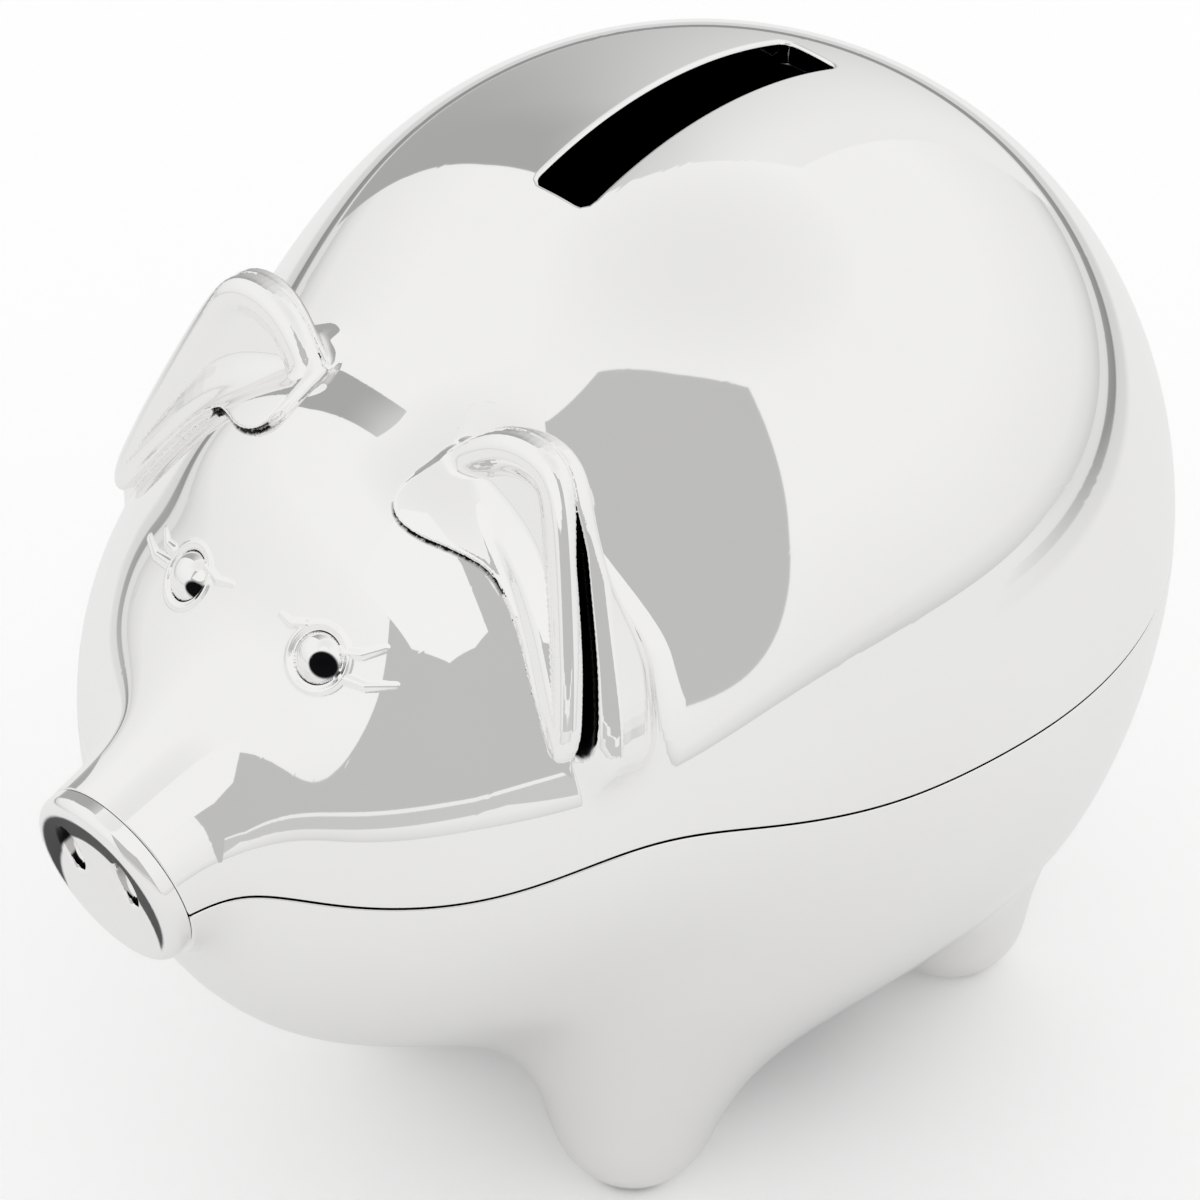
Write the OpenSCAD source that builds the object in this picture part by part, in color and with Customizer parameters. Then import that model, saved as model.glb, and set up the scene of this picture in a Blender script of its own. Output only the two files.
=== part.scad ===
// A pig-shaped money box in polished, silver-plated zinc.
// Two cast shells meet at a nearly level seam. Coins go in at the slot in the back and
// come out at a rubber stopper in the belly. The pig faces -Y, and its soles are at z = 0.

/* [Body] */
// Half width of the round body
body_half_w = 45.2; // [42:0.1:56]
// Half length of the round body
body_half_l = 45.3; // [42:0.1:56]
// Half height of the round body
body_half_h = 49; // [45:0.1:60]
// Height of the belly above the floor
belly_z = 7; // [6:0.1:12]
// Widening of the body towards its top, as a share of its width
body_top_wide = 0.039; // [0:0.001:0.1]

/* [Head] */
// Distance of the head's middle in front of the body's middle
head_y = 35.5; // [32:0.1:40]
// Height of the head's middle
head_z = 48.6; // [44:0.1:54]
// Half width of the head
head_half_w = 32; // [29:0.1:36]
// Half length of the head
head_half_l = 32; // [29:0.1:36]
// Half height of the head
head_half_h = 28.8; // [26:0.1:33]
// Tilt of the head, in degrees
head_tilt = -6.4; // [-12:0.1:2]
// Widening of the head towards its top, as a share of its width
head_top_wide = 0.299; // [0.1:0.001:0.35]
// Softness of the neck between head and body
neck_blend = 22.8; // [16:0.1:28]
// Distance of the brow's middle in front of the body's middle
brow_y = 43.1; // [40:0.1:46]
// Height of the brow's middle
brow_z = 61.6; // [58:0.1:66]
// Half width of the brow
brow_half_w = 24; // [20:0.1:28]
// Half length of the brow
brow_half_l = 13.7; // [11:0.1:17]
// Half height of the brow
brow_half_h = 22.9; // [19:0.1:26]
// Softness of the edge around the brow
brow_blend = 7.5; // [4:0.1:12]

/* [Snout] */
// Where the snout's axis leaves the head, in front of the body's middle
snout_root_y = 45.5; // [42:0.1:50]
// Height of the snout's axis at its root
snout_root_z = 59.6; // [56:0.1:62]
// Where the snout's flat end is, in front of the body's middle
snout_end_y = 74.3; // [70:0.1:80]
// Height of the snout's axis at its end
snout_end_z = 51.5; // [48:0.1:55]
// Radius of the snout at its root
snout_root_r = 10.5; // [9:0.1:12]
// Radius of the snout at its end
snout_end_r = 9; // [8:0.1:10.5]
// Softness of the edge where the snout meets the head
snout_blend = 8.5; // [5:0.1:11]
// Thickness of the snout plate
snout_plate_t = 2.4; // [1.8:0.1:3.5]
// Length of the spigot behind the snout plate
snout_spigot_len = 3; // [2:0.1:5]
// Depth of the dish in the snout plate
snout_dish = 0.9; // [0.4:0.1:1.4]
// Distance of each nostril from the middle
nostril_x = 3.7; // [3:0.1:4.2]
// Height of the nostrils above the snout's axis
nostril_up = 2.3; // [0:0.1:3]
// Width of a nostril
nostril_w = 2.6; // [1.6:0.1:3.2]
// Height of a nostril
nostril_h = 5.2; // [4:0.1:6]

/* [Legs] */
// Distance of a front leg from the middle
front_leg_x = 17.3; // [16:0.1:20]
// Distance of the front legs in front of the body's middle
front_leg_y = 21; // [19:0.1:26]
// Distance of a rear leg from the middle
rear_leg_x = 15.4; // [15:0.1:19]
// Distance of the rear legs behind the body's middle
rear_leg_y = 21.7; // [20:0.1:26]
// Radius of a foot
foot_r = 6.2; // [5.6:0.1:7.5]
// Radius of a leg where it enters the body
leg_r = 5.9; // [5.4:0.1:7]
// Height at which the legs are as thick as stated
leg_top_z = 27.3; // [24:0.1:32]
// Softness of the haunches
leg_blend = 29.8; // [24:0.1:33]
// Lean of each leg, towards its foot, along the body
leg_lean_y = 2.3; // [0:0.1:4]
// Lean of each leg, towards its foot, to the middle
leg_lean_x = 1.7; // [0:0.1:3]

/* [Shell] */
// Wall thickness of both castings
wall = 2.3; // [1.8:0.1:3]
// Open gap of the seam
seam_gap = 0.25; // [0.1:0.05:0.5]
// Height of the seam at the tail
seam_rear_z = 59.2; // [56:0.1:62]
// Rise of the seam behind the cheeks
seam_rise = 3.5; // [0:0.1:5]
// Where the seam's rise is, in front of the body's middle
seam_rise_y = 39.9; // [36:0.1:44]
// Half length of the seam's rise
seam_rise_len = 11.9; // [8:0.1:16]

/* [Coin slot] */
// Width of the coin slot
slot_w = 6.7; // [4.5:0.1:8]
// Length of the coin slot
slot_len = 32.2; // [27:0.1:36]
// Distance of the slot's middle in front of the body's middle
slot_y = 2.8; // [-2:0.1:8]
// Radius of the slot's corners
slot_corner_r = 1; // [0.4:0.1:2]

/* [Stopper] */
// Radius of the coin outlet in the belly
outlet_r = 14; // [11.5:0.1:17]
// How far the stopper's flange laps over the edge of the outlet
flange_lap = 2.5; // [1.8:0.1:3]
// Thickness of the seat
seat_t = 2.4; // [2:0.1:3.5]
// Thickness of the stopper's flange at its edge
flange_t = 1.6; // [1:0.1:2.5]
// How far the stopper's underside bulges
flange_bulge = 1.8; // [0.5:0.1:2.2]
// Length of the stopper's neck
neck_len = 5.6; // [4.5:0.1:6.5]
// Running clearance of the neck in the outlet
neck_clear = 0.05; // [0.02:0.01:0.1]
// Clearance around the flange
flange_clear = 0.3; // [0.2:0.05:0.6]

/* [Screws] */
// Radius of the screw's thread
screw_r = 1.5; // [1.25:0.05:2]
// Radius of the screw's head
screw_head_r = 2.75; // [2.3:0.05:3.4]
// Height of the screw's head
screw_head_h = 2; // [1.5:0.1:2.5]
// Length of thread in the upper shell's post
screw_bite = 8; // [5:0.5:12]
// Clearance around the screw's shank in the lower shell
screw_clear = 0.2; // [0.1:0.05:0.4]
// Height of the screw's seat inside the leg
screw_seat_z = 14; // [11:0.1:15]
// Radius of each post
post_r = 3.8; // [3.4:0.1:4.5]
// Gap between the two posts' faces
post_gap = 0.2; // [0.1:0.05:0.5]

/* [Rubber feet] */
// Clearance around a screw's head in the leg
head_clear = 0.45; // [0.2:0.05:0.8]
// Length of a rubber foot inside the leg
rubber_len = 5; // [3:0.1:7]
// How far a rubber foot stands below the casting
rubber_proud = 0.2; // [0.1:0.05:0.5]

/* [Eyes] */
// Distance of each eye from the middle
eye_x = 8.7; // [7:0.1:11]
// Height of the eyes
eye_z = 72.1; // [69:0.1:75]
// Radius of the socket around each eye
eye_socket_r = 2.85; // [2.5:0.05:3.4]
// Depth of the eye's socket
eye_socket_depth = 0.9; // [0.6:0.1:1.3]
// Radius of the eye's dome
eye_dome_r = 2.2; // [1.8:0.05:2.5]
// Height of the eye's dome above its flange
eye_dome_h = 1.7; // [1:0.1:2.2]
// Clearance of the eye in its socket
eye_clear = 0.1; // [0.05:0.05:0.2]

/* [Ears] */
// Middle of the ear's foot, to the side
ear_x = 18.9; // [17:0.1:21]
// Middle of the ear's foot, in front of the body's middle
ear_y = 41.5; // [39:0.1:44]
// Middle of the ear's foot, above the floor
ear_z = 75.6; // [73:0.1:78]
// Half length of the ear along the head
ear_half_len = 12.8; // [11:0.1:15]
// Height of the ear
ear_height = 14.1; // [12:0.1:17]
// Slope of the ear's foot, in degrees
ear_slope = 35; // [25:1:45]
// Backward lean of the ear, per unit of height
ear_lean = 0.25; // [0:0.01:0.4]
// Thickness of the ear at its rim
ear_rim_t = 2.6; // [2:0.1:3.5]
// Extra thickness of the ear at its foot
ear_foot_t = 3.4; // [2:0.1:5]
// Depth of the hollow in the front of the ear
ear_dish = 1.2; // [0.5:0.1:1.6]
// Height at which the ear's arch starts
ear_spring = 5.5; // [5:0.1:7]
// Joint gap between the ear and the head
ear_gap = 0.3; // [0.2:0.05:0.4]

/* [Tail] */
// Height of the tail's root
tail_z = 68; // [64:0.1:74]
// Radius of the tail's wire at its root
tail_root_r = 1.7; // [1.4:0.1:2.2]
// Radius of the tail's wire at its tip
tail_tip_r = 0.8; // [0.6:0.1:1.2]
// Radius of the tail's curl
tail_curl_r = 4.2; // [3:0.1:5]
// Number of turns in the tail's curl
tail_turns = 1.25; // [1:0.05:1.6]
// Depth of the tail's root in its socket
tail_peg = 1.2; // [0.8:0.1:1.6]
// Clearance of the tail's root in its socket
tail_clear = 0.1; // [0.05:0.05:0.2]

/* [Hidden] */
silver = [0.86, 0.86, 0.87];
steel = [0.62, 0.63, 0.65];
rubber = [0.09, 0.09, 0.1];
body_mid_z = belly_z + body_half_h;
round_fn = 48;
eps = 0.01;

// ---- Where things are, along the body: the pig faces -Y ----
snout_root = [0, -snout_root_y, snout_root_z];
snout_end = [0, -snout_end_y, snout_end_z];
snout_len = norm(snout_end - snout_root);
snout_dir = (snout_end - snout_root) / snout_len;
snout_drop = acos(-snout_dir.y);
shell_end = snout_end - snout_plate_t * snout_dir;
front_foot = [front_leg_x - leg_lean_x / 2, -front_leg_y - leg_lean_y, foot_r];
rear_foot = [rear_leg_x - leg_lean_x / 2, rear_leg_y + leg_lean_y, foot_r];
feet = [
    [front_foot.x, front_foot.y], [-front_foot.x, front_foot.y],
    [rear_foot.x, rear_foot.y], [-rear_foot.x, rear_foot.y]
];
nose_tip_y = snout_end.y - snout_end_r * sin(snout_drop);
tail_back_y = body_half_l + tail_curl_r + tail_root_r;
// The frame's origin is under the middle of the whole length
frame_y = -(nose_tip_y + tail_back_y) / 2;

// ---- The skin: a field that is negative inside the pig and zero on its skin ----
function blend(a, b, k) = let (h = max(k - abs(a - b), 0) / k) min(a, b) - h * h * h * k / 6;
function ball(p, r) =
    let (near = norm([p.x / r.x, p.y / r.y, p.z / r.z]))
    let (slope = norm([p.x / r.x / r.x, p.y / r.y / r.y, p.z / r.z / r.z]))
    near * (near - 1) / max(slope, 0.0001);
function body_field(p) =
    let (w = 1 + body_top_wide * (p.z - body_mid_z) / body_half_h)
    ball([p.x / w, p.y / w, p.z - body_mid_z], [body_half_w, body_half_l, body_half_h]);
function brow_field(p) = ball([p.x, p.y + brow_y, p.z - brow_z], [brow_half_w, brow_half_l, brow_half_h]);
function head_field(p) =
    let (y = p.y + head_y, z = p.z - head_z)
    let (along = y * cos(head_tilt) + z * sin(head_tilt))
    let (up = z * cos(head_tilt) - y * sin(head_tilt))
    let (w = 1 + head_top_wide * up / head_half_h)
    ball([p.x / w, along, up], [head_half_w, head_half_l, head_half_h]);
function snout_field(p) =
    let (along = (p - snout_root) * snout_dir)
    let (off = norm(p - snout_root - along * snout_dir))
    let (share = min(max(along / snout_len, 0), 1.2))
    max(off - snout_root_r - (snout_end_r - snout_root_r) * share, -along - snout_root_r);
function leg_field(p, foot, lean) =
    let (top = [foot.x + leg_lean_x, foot.y - lean, leg_top_z], run = foot - top)
    let (share = min(max((p - top) * run / (run * run), 0), 1))
    norm(p - top - share * run) - leg_r - (foot_r - leg_r) * share;
function pig_field(p, legs) =
    let (face = blend(blend(head_field(p), brow_field(p), brow_blend), snout_field(p), snout_blend))
    let (trunk = blend(body_field(p), face, neck_blend), q = [abs(p.x), p.y, p.z])
    !legs ? trunk :
    blend(blend(trunk, leg_field(q, front_foot, -leg_lean_y), leg_blend),
        leg_field(q, rear_foot, leg_lean_y), leg_blend);
// Distance from a point inside the pig to the skin at the given depth
function reach(o, d, depth, legs, t = 0, n = 60) =
    let (left = pig_field(o + t * d, legs) + depth)
    n == 0 || abs(left) < 0.003 ? t : reach(o, d, depth, legs, t - left, n - 1);
function skin_point(o, d, depth, legs) = o + reach(o, d, depth, legs) * d;
function skin_normal(p) =
    let (h = 0.1)
    let (g = [for (a = [[h, 0, 0], [0, h, 0], [0, 0, h]]) pig_field(p + a, true) - pig_field(p - a, true)])
    g / norm(g);

// ---- The seam ----
function seam_z(y) =
    let (share = (y - shell_end.y) / (body_half_l - shell_end.y))
    let (rise = (y + seam_rise_y) / seam_rise_len)
    shell_end.z + (seam_rear_z - shell_end.z) * share + seam_rise * exp(-rise * rise);

// ---- Ribs: upright half planes that fan around the pig from snout to rump and back ----
hub_y = body_half_l * 0.72;
snout_ribs = 5;
face_ribs = 7;
trunk_ribs = 27;
rump_ribs = 14;
face_from_y = -head_y - head_half_l * 0.79;
face_to_y = -head_y - head_half_l * 0.47;
function steps(a, b, n) = [for (i = [0:n - 1]) a + (b - a) * i / n];
rib_y = concat(
    steps(shell_end.y, face_from_y, snout_ribs), steps(face_from_y, face_to_y, face_ribs),
    steps(face_to_y, hub_y, trunk_ribs), [hub_y]
);
side_ribs = len(rib_y);
rib_count = 2 * side_ribs + rump_ribs - 1;
// The planes lean with the snout's end and stand upright from the cheeks on
function rib_lean(y) = snout_drop * max(0, 1 - (y - shell_end.y) / (face_to_y - shell_end.y));
function rib(k) =
    let (right = k < side_ribs, left = k >= side_ribs + rump_ribs - 1)
    let (y = right ? rib_y[k] : left ? rib_y[rib_count - 1 - k] : hub_y)
    let (turn = right ? 0 : left ? 180 : 180 * (k - side_ribs + 1) / rump_ribs)
    [[0, y, seam_z(y)], [cos(turn), sin(turn), 0], [0, -sin(rib_lean(y)), cos(rib_lean(y))]];
function rib_row(k) = k < side_ribs ? k : k >= side_ribs + rump_ribs - 1 ? rib_count - 1 - k : side_ribs - 1;

// Points of a skin: every rib's points by angle, then the ridge that all ribs share
function skin_points(angles, depth, legs, drop) = concat(
    [for (k = [0:rib_count - 1]) let (r = rib(k), o = r[0] - drop * r[2])
        for (i = [0:len(angles) - 2])
            skin_point(o, r[1] * cos(angles[i]) + r[2] * sin(angles[i]), depth, legs)],
    [for (k = [0:side_ribs - 1]) let (r = rib(k), o = r[0] - drop * r[2], a = angles[len(angles) - 1])
        skin_point(o, r[2] * sin(a), depth, legs)]
);
function skin_id(k, i, m) = i < m - 1 ? k * (m - 1) + i : rib_count * (m - 1) + rib_row(k);
function skin_faces(m) = [
    for (k = [0:rib_count - 2], i = [0:m - 2])
        let (a = skin_id(k, i, m), b = skin_id(k + 1, i, m))
        let (c = skin_id(k + 1, i + 1, m), d = skin_id(k, i + 1, m))
        for (f = c == d ? [[a, b, c]] : [[a, b, c], [a, c, d]]) f
];
function rim_ids(m) = [for (k = [0:rib_count - 1]) skin_id(k, 0, m)];
function end_ids(m) = concat(
    [for (i = [m - 1:-1:0]) skin_id(rib_count - 1, m - 1 - i, m)],
    [for (i = [m - 2:-1:0]) skin_id(0, i, m)]
);
// Triangles between two rows of points that may differ in number
function zip(a, b, i = 0, j = 0) =
    let (na = len(a) - 1, nb = len(b) - 1)
    i == na && j == nb ? [] :
    j == nb || (i < na && (i + 1) / na <= (j + 1) / nb) ?
        concat([[a[i], a[i + 1], b[j]]], zip(a, b, i + 1, j)) :
        concat([[a[i], b[j + 1], b[j]]], zip(a, b, i, j + 1));
function shift_ids(faces, n) = [for (f = faces) [for (v = f) v + n]];
function flip(faces) = [for (f = faces) [f[0], f[2], f[1]]];

// A cast shell between the outer skin and an inner skin one wall deeper
module shell(outer_angles, inner_angles, legs, drop) {
    mo = len(outer_angles);
    mi = len(inner_angles);
    outer = skin_points(outer_angles, 0, legs, drop);
    inner = skin_points(inner_angles, wall, false, drop);
    n = len(outer);
    rim = zip(rim_ids(mo), [for (v = rim_ids(mi)) v + n]);
    end = zip(end_ids(mo), [for (v = end_ids(mi)) v + n]);
    faces = concat(skin_faces(mo), flip(shift_ids(skin_faces(mi), n)), flip(rim), flip(end));
    polyhedron(concat(outer, inner), outer_angles[mo - 1] > 0 ? flip(faces) : faces, convexity = 6);
}
upper_outer = [0, 8, 17, 26, 35, 44, 53, 62, 71, 80, 90];
upper_inner = [0, 15, 30, 45, 60, 75, 90];
lower_outer = [0, -10, -20, -30, -39, -47, -54, -59, -63, -66, -69, -72, -75, -78, -81, -84, -87, -90];
lower_inner = [0, -15, -30, -45, -60, -75, -90];

// ---- Posts and screws ----
rubber_r = screw_head_r + head_clear;
function away(xy, r) = xy * (1 + r / norm(xy));
function floor_z(xy, depth) =
    skin_point([xy.x, xy.y, seam_z(xy.y)], [0, 0, -1], depth, false).z;
function roof_z(xy, depth) =
    skin_point([xy.x, xy.y, seam_z(xy.y)], [0, 0, 1], depth, false).z;
// The stopper's seat lies where the belly's skin passes the edge of the flange
flange_r = outlet_r + flange_lap;
seat_r = flange_r + flange_clear + wall / 4;
function seat_z() = floor_z([seat_r, 0], 0) + 0.1;
function post_joint_z(xy) = floor_z(away(xy, post_r), wall) + post_gap;
function post_top_z(xy) = roof_z(away(xy, post_r), wall) + wall / 2;

module upper_posts() {
    for (f = feet) {
        z = post_joint_z(f);
        translate([f.x, f.y, z]) cylinder(r = post_r, h = post_top_z(f) - z, $fn = round_fn);
    }
}
module screw_threads() {
    for (f = feet)
        translate([f.x, f.y, 0])
            cylinder(r = screw_r + neck_clear, h = post_joint_z(f) + screw_bite + 1, $fn = round_fn);
}
module lower_posts() {
    for (f = feet) {
        z = floor_z(away(f, -post_r), wall) - wall / 2;
        translate([f.x, f.y, z]) cylinder(r = post_r, h = post_joint_z(f) - post_gap - z, $fn = round_fn);
    }
}
module screw_holes() {
    for (f = feet) translate([f.x, f.y, -1]) {
        cylinder(r = screw_r + screw_clear, h = post_joint_z(f) + 2, $fn = round_fn);
        cylinder(r = rubber_r + neck_clear, h = screw_seat_z + 1, $fn = round_fn);
    }
}
module screw_body(f) {
    shank = post_joint_z(f) + screw_bite - screw_seat_z;
    in_frame() translate([f.x, f.y, screw_seat_z - screw_head_h]) difference() {
        union() {
            cylinder(r = screw_head_r, h = screw_head_h, $fn = round_fn);
            translate([0, 0, screw_head_h - eps]) cylinder(r = screw_r, h = shank + eps, $fn = round_fn);
        }
        for (a = [0, 90]) rotate([0, 0, a])
            translate([-screw_head_r * 0.6, -0.35, -eps]) cube([screw_head_r * 1.2, 0.7, screw_head_h * 0.6]);
    }
}
module rubber_foot_body(f) {
    in_frame() translate([f.x, f.y, 0]) intersection() {
        cylinder(r = rubber_r, h = rubber_len, $fn = round_fn);
        translate([0, 0, foot_r - rubber_proud]) sphere(r = foot_r, $fn = 96);
    }
}

// ---- Castings ----
module in_frame() {
    translate([0, frame_y, 0]) children();
}
module slot_cut() {
    inner_w = slot_w - 2 * slot_corner_r;
    inner_l = slot_len - 2 * slot_corner_r;
    z = roof_z([0, -slot_y], wall) - 6;
    translate([0, -slot_y, z]) linear_extrude(height = 30) {
        square([slot_w, inner_l], center = true);
        square([inner_w, slot_len], center = true);
        for (x = [-inner_w / 2, inner_w / 2], y = [-inner_l / 2, inner_l / 2])
            translate([x, y]) circle(r = slot_corner_r, $fn = 24);
    }
}
function eye_point(side) =
    let (o = [side * eye_x, -head_y, eye_z]) skin_point(o, [0, -1, 0], 0, false);
module at_eye(side) {
    p = eye_point(side);
    n = skin_normal(p);
    translate(p) rotate([0, acos(n.z), atan2(n.y, n.x)]) children();
}
module at_tail() {
    o = [0, hub_y, tail_z];
    p = skin_point(o, [0, 1, 0], 0, false);
    n = skin_normal(p);
    translate(p) rotate([0, acos(n.z), 90]) children();
}
module upper_shell() {
    color(silver) in_frame() difference() {
        union() {
            shell(upper_outer, upper_inner, false, 0);
            upper_posts();
        }
        slot_cut();
        screw_threads();
        for (side = [-1, 1]) at_eye(side)
            translate([0, 0, -eye_socket_depth]) cylinder(r = eye_socket_r, h = 4, $fn = round_fn);
        at_tail() translate([0, 0, -tail_peg]) cylinder(r = tail_root_r + tail_clear, h = 4, $fn = round_fn);
    }
}
module lower_shell() {
    color(silver) in_frame() difference() {
        union() {
            shell(lower_outer, lower_inner, true, seam_gap);
            lower_posts();
            translate([0, 0, seat_z()]) cylinder(r = seat_r, h = seat_t, $fn = 2 * round_fn);
        }
        translate([0, 0, -1]) cylinder(r = flange_r + flange_clear, h = seat_z() + 1, $fn = 2 * round_fn);
        translate([0, 0, -1]) cylinder(r = outlet_r, h = seat_z() + seat_t + 2, $fn = 2 * round_fn);
        screw_holes();
    }
}

// ---- Snout plate: a dished disc with a spigot in the open snout ----
module at_snout() {
    translate(shell_end) rotate([90 + snout_drop, 0, 0]) children();
}
module nostril() {
    half = (nostril_h - nostril_w) / 2;
    translate([0, 0, snout_plate_t - snout_dish - 1]) {
        for (y = [-half, half]) translate([0, y, 0]) cylinder(d = nostril_w, h = 4, $fn = 32);
        translate([-nostril_w / 2, -half, 0]) cube([nostril_w, 2 * half, 4]);
    }
}
module snout_plate() {
    rim = min(1.1, snout_plate_t / 2);
    spigot_r = snout_end_r - wall - 0.4;
    color(silver) in_frame() at_snout() difference() {
        union() {
            cylinder(r = snout_end_r, h = snout_plate_t - rim, $fn = 2 * round_fn);
            rotate_extrude($fn = 2 * round_fn) {
                square([snout_end_r - rim, snout_plate_t]);
                translate([snout_end_r - rim, snout_plate_t - rim]) circle(r = rim, $fn = 32);
            }
            translate([0, 0, -snout_spigot_len])
                cylinder(r = spigot_r, h = snout_spigot_len + eps, $fn = 2 * round_fn);
        }
        translate([0, 0, snout_plate_t - snout_dish])
            cylinder(r1 = snout_end_r - rim - 1.4, r2 = snout_end_r - rim - 0.4, h = snout_dish + eps, $fn = 64);
        for (side = [-1, 1]) translate([side * nostril_x, nostril_up, 0]) nostril();
        translate([0, 0, -snout_spigot_len - 1])
            cylinder(r = spigot_r - 1.5, h = snout_spigot_len + 1, $fn = 2 * round_fn);
    }
}

// ---- Eyes ----
module eye_body(side) {
    flange_h = 0.5;
    dome_ball = (eye_dome_r * eye_dome_r + eye_dome_h * eye_dome_h) / (2 * eye_dome_h);
    in_frame() at_eye(side) translate([0, 0, -eye_socket_depth]) {
        cylinder(r = eye_socket_r - eye_clear, h = flange_h, $fn = round_fn);
        intersection() {
            translate([0, 0, flange_h + eye_dome_h - dome_ball]) sphere(r = dome_ball, $fn = 64);
            cylinder(r = eye_dome_r, h = 5, $fn = round_fn);
        }
    }
}

// ---- Ears: an arch that stands on the head, hollow in front ----
ear_cuts = 16;
ear_reach = 0.97;
ear_square = 2.3;
function ear_arch(u) =
    ear_spring + (ear_height - ear_spring) * pow(1 - pow(abs(u), ear_square), 1 / ear_square);
// Front and back of the ear, as distances behind its middle plane
function ear_front(u, v) =
    let (s = v / max(ear_arch(u), 0.1))
    ear_lean * v + ear_dish * (1 - u * u) * max(0, 1 - s * s);
function ear_back(u, v) =
    ear_lean * v + ear_rim_t + ear_foot_t * pow(max(0, 1 - v / ear_height), 1.6) * (1 - u * u * 0.5);
function ear_place(u, y, v) = [
    ear_x + ear_half_len * u * cos(ear_slope) + v * sin(ear_slope),
    y - ear_y,
    ear_z - ear_half_len * u * sin(ear_slope) + v * cos(ear_slope)
];
// Lowest height of the ear over the head, at a distance along and behind its middle
function ear_foot(u, y, v = 0, n = 40) =
    let (gap = pig_field(ear_place(u, y, v), false) - ear_gap)
    n == 0 || abs(gap) < 0.003 ? v : ear_foot(u, y, v - gap, n - 1);
// A point of the ear's wall, lifted where the shoulder would reach it
function ear_clear(u, y, v) = ear_place(u, y, max(v, ear_foot(u, y, v)));
function ear_ring(u) =
    let (top = ear_arch(u), r = ear_rim_t / 2, neck = max(top - r, 0.1))
    let (f = ear_foot(u, ear_front(u, 0)), b = ear_foot(u, ear_back(u, 0)))
    let (crown = ear_lean * neck + r)
    concat(
        [for (s = [0:4]) let (v = f + (neck - f) * s / 5) ear_clear(u, ear_front(u, v), v)],
        [for (a = [180:-30:0]) ear_place(u, crown + r * cos(a), neck + r * sin(a))],
        [for (s = [4:-1:0]) let (v = b + (neck - b) * s / 5) ear_clear(u, ear_back(u, v), v)],
        [for (s = [1:3])
            let (y = ear_back(u, b) + (ear_front(u, f) - ear_back(u, b)) * s / 4)
            ear_place(u, y, ear_foot(u, y))]
    );
function mean(points) = [for (p = points) 1] * points / len(points);
module ear_body() {
    rings = [for (i = [0:ear_cuts]) ear_ring(ear_reach * cos(180 - 180 * i / ear_cuts))];
    n = len(rings[0]);
    ends = [for (r = [rings[0], rings[ear_cuts]]) mean(r)];
    points = concat([for (r = rings) for (p = r) p], ends);
    sides = [for (i = [0:ear_cuts - 1], j = [0:n - 1])
        let (a = i * n + j, b = i * n + (j + 1) % n)
        for (f = [[a, b + n, b], [a, a + n, b + n]]) f];
    hub = len(points) - 2;
    first = [for (j = [0:n - 1]) [hub, j, (j + 1) % n]];
    last = [for (j = [0:n - 1]) [hub + 1, ear_cuts * n + (j + 1) % n, ear_cuts * n + j]];
    polyhedron(points, concat(sides, first, last), convexity = 4);
}

// ---- Tail: a curl of tapering wire, with its root in a socket ----
module tail() {
    turns = 30;
    sides = 10;
    // A straight root, then a curl that draws in and rises slightly as it turns
    root = tail_peg + tail_root_r + 0.6;
    root_share = 0.15;
    function path(t) =
        let (c = max(0, t - root_share) / (1 - root_share), r = tail_curl_r * (1 - 0.35 * c))
        let (out = -tail_peg + root * min(1, t / root_share) + 1.6 * min(1, c * 5))
        [r * sin(360 * tail_turns * c), tail_curl_r - r * cos(360 * tail_turns * c), out];
    function wire(t) = tail_root_r + (tail_tip_r - tail_root_r) * t;
    function unit(v) = v / norm(v);
    function ring(t) =
        let (d = unit(t < root_share ? [0, 0, 1] : path(t + 0.01) - path(t - 0.01)))
        let (a = unit(cross(d, [1, 0.2, 0.1])), b = cross(d, a))
        [for (s = [0:sides - 1]) path(t) + wire(t) * (a * cos(360 * s / sides) + b * sin(360 * s / sides))];
    points = [for (i = [0:turns]) for (p = ring(i / turns)) p];
    skin = [for (i = [0:turns - 1], j = [0:sides - 1])
        let (a = i * sides + j, b = i * sides + (j + 1) % sides)
        for (f = [[a, b, b + sides], [a, b + sides, a + sides]]) f];
    first = [for (j = [1:sides - 2]) [0, j + 1, j]];
    last = shift_ids(flip(first), turns * sides);
    color(silver) in_frame() at_tail() polyhedron(points, concat(skin, first, last), convexity = 6);
}

// ---- Belly stopper: a soft plug that pulls straight down ----
module belly_stopper() {
    neck_r = outlet_r - neck_clear;
    bulge_ball = (flange_r * flange_r + flange_bulge * flange_bulge) / (2 * flange_bulge);
    seat = seat_z();
    low = seat - flange_t;
    color(rubber) in_frame() difference() {
        union() {
            translate([0, 0, low]) cylinder(r = flange_r, h = flange_t, $fn = 2 * round_fn);
            intersection() {
                translate([0, 0, low - flange_bulge + bulge_ball]) sphere(r = bulge_ball, $fn = 128);
                translate([0, 0, low - flange_bulge]) cylinder(r = flange_r, h = flange_bulge + eps, $fn = 96);
            }
            translate([0, 0, seat - eps]) cylinder(r = neck_r - 0.4, h = neck_len + eps, $fn = 2 * round_fn);
            for (z = [0.6, neck_len - 1.8])
                translate([0, 0, seat + z]) cylinder(r = neck_r, h = 1.2, $fn = 2 * round_fn);
        }
        translate([0, 0, seat + 0.8]) cylinder(r = neck_r - 3, h = neck_len, $fn = 2 * round_fn);
        translate([-6, -1.5, low - flange_bulge - 1]) cube([12, 3, 2.2]);
    }
}

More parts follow.
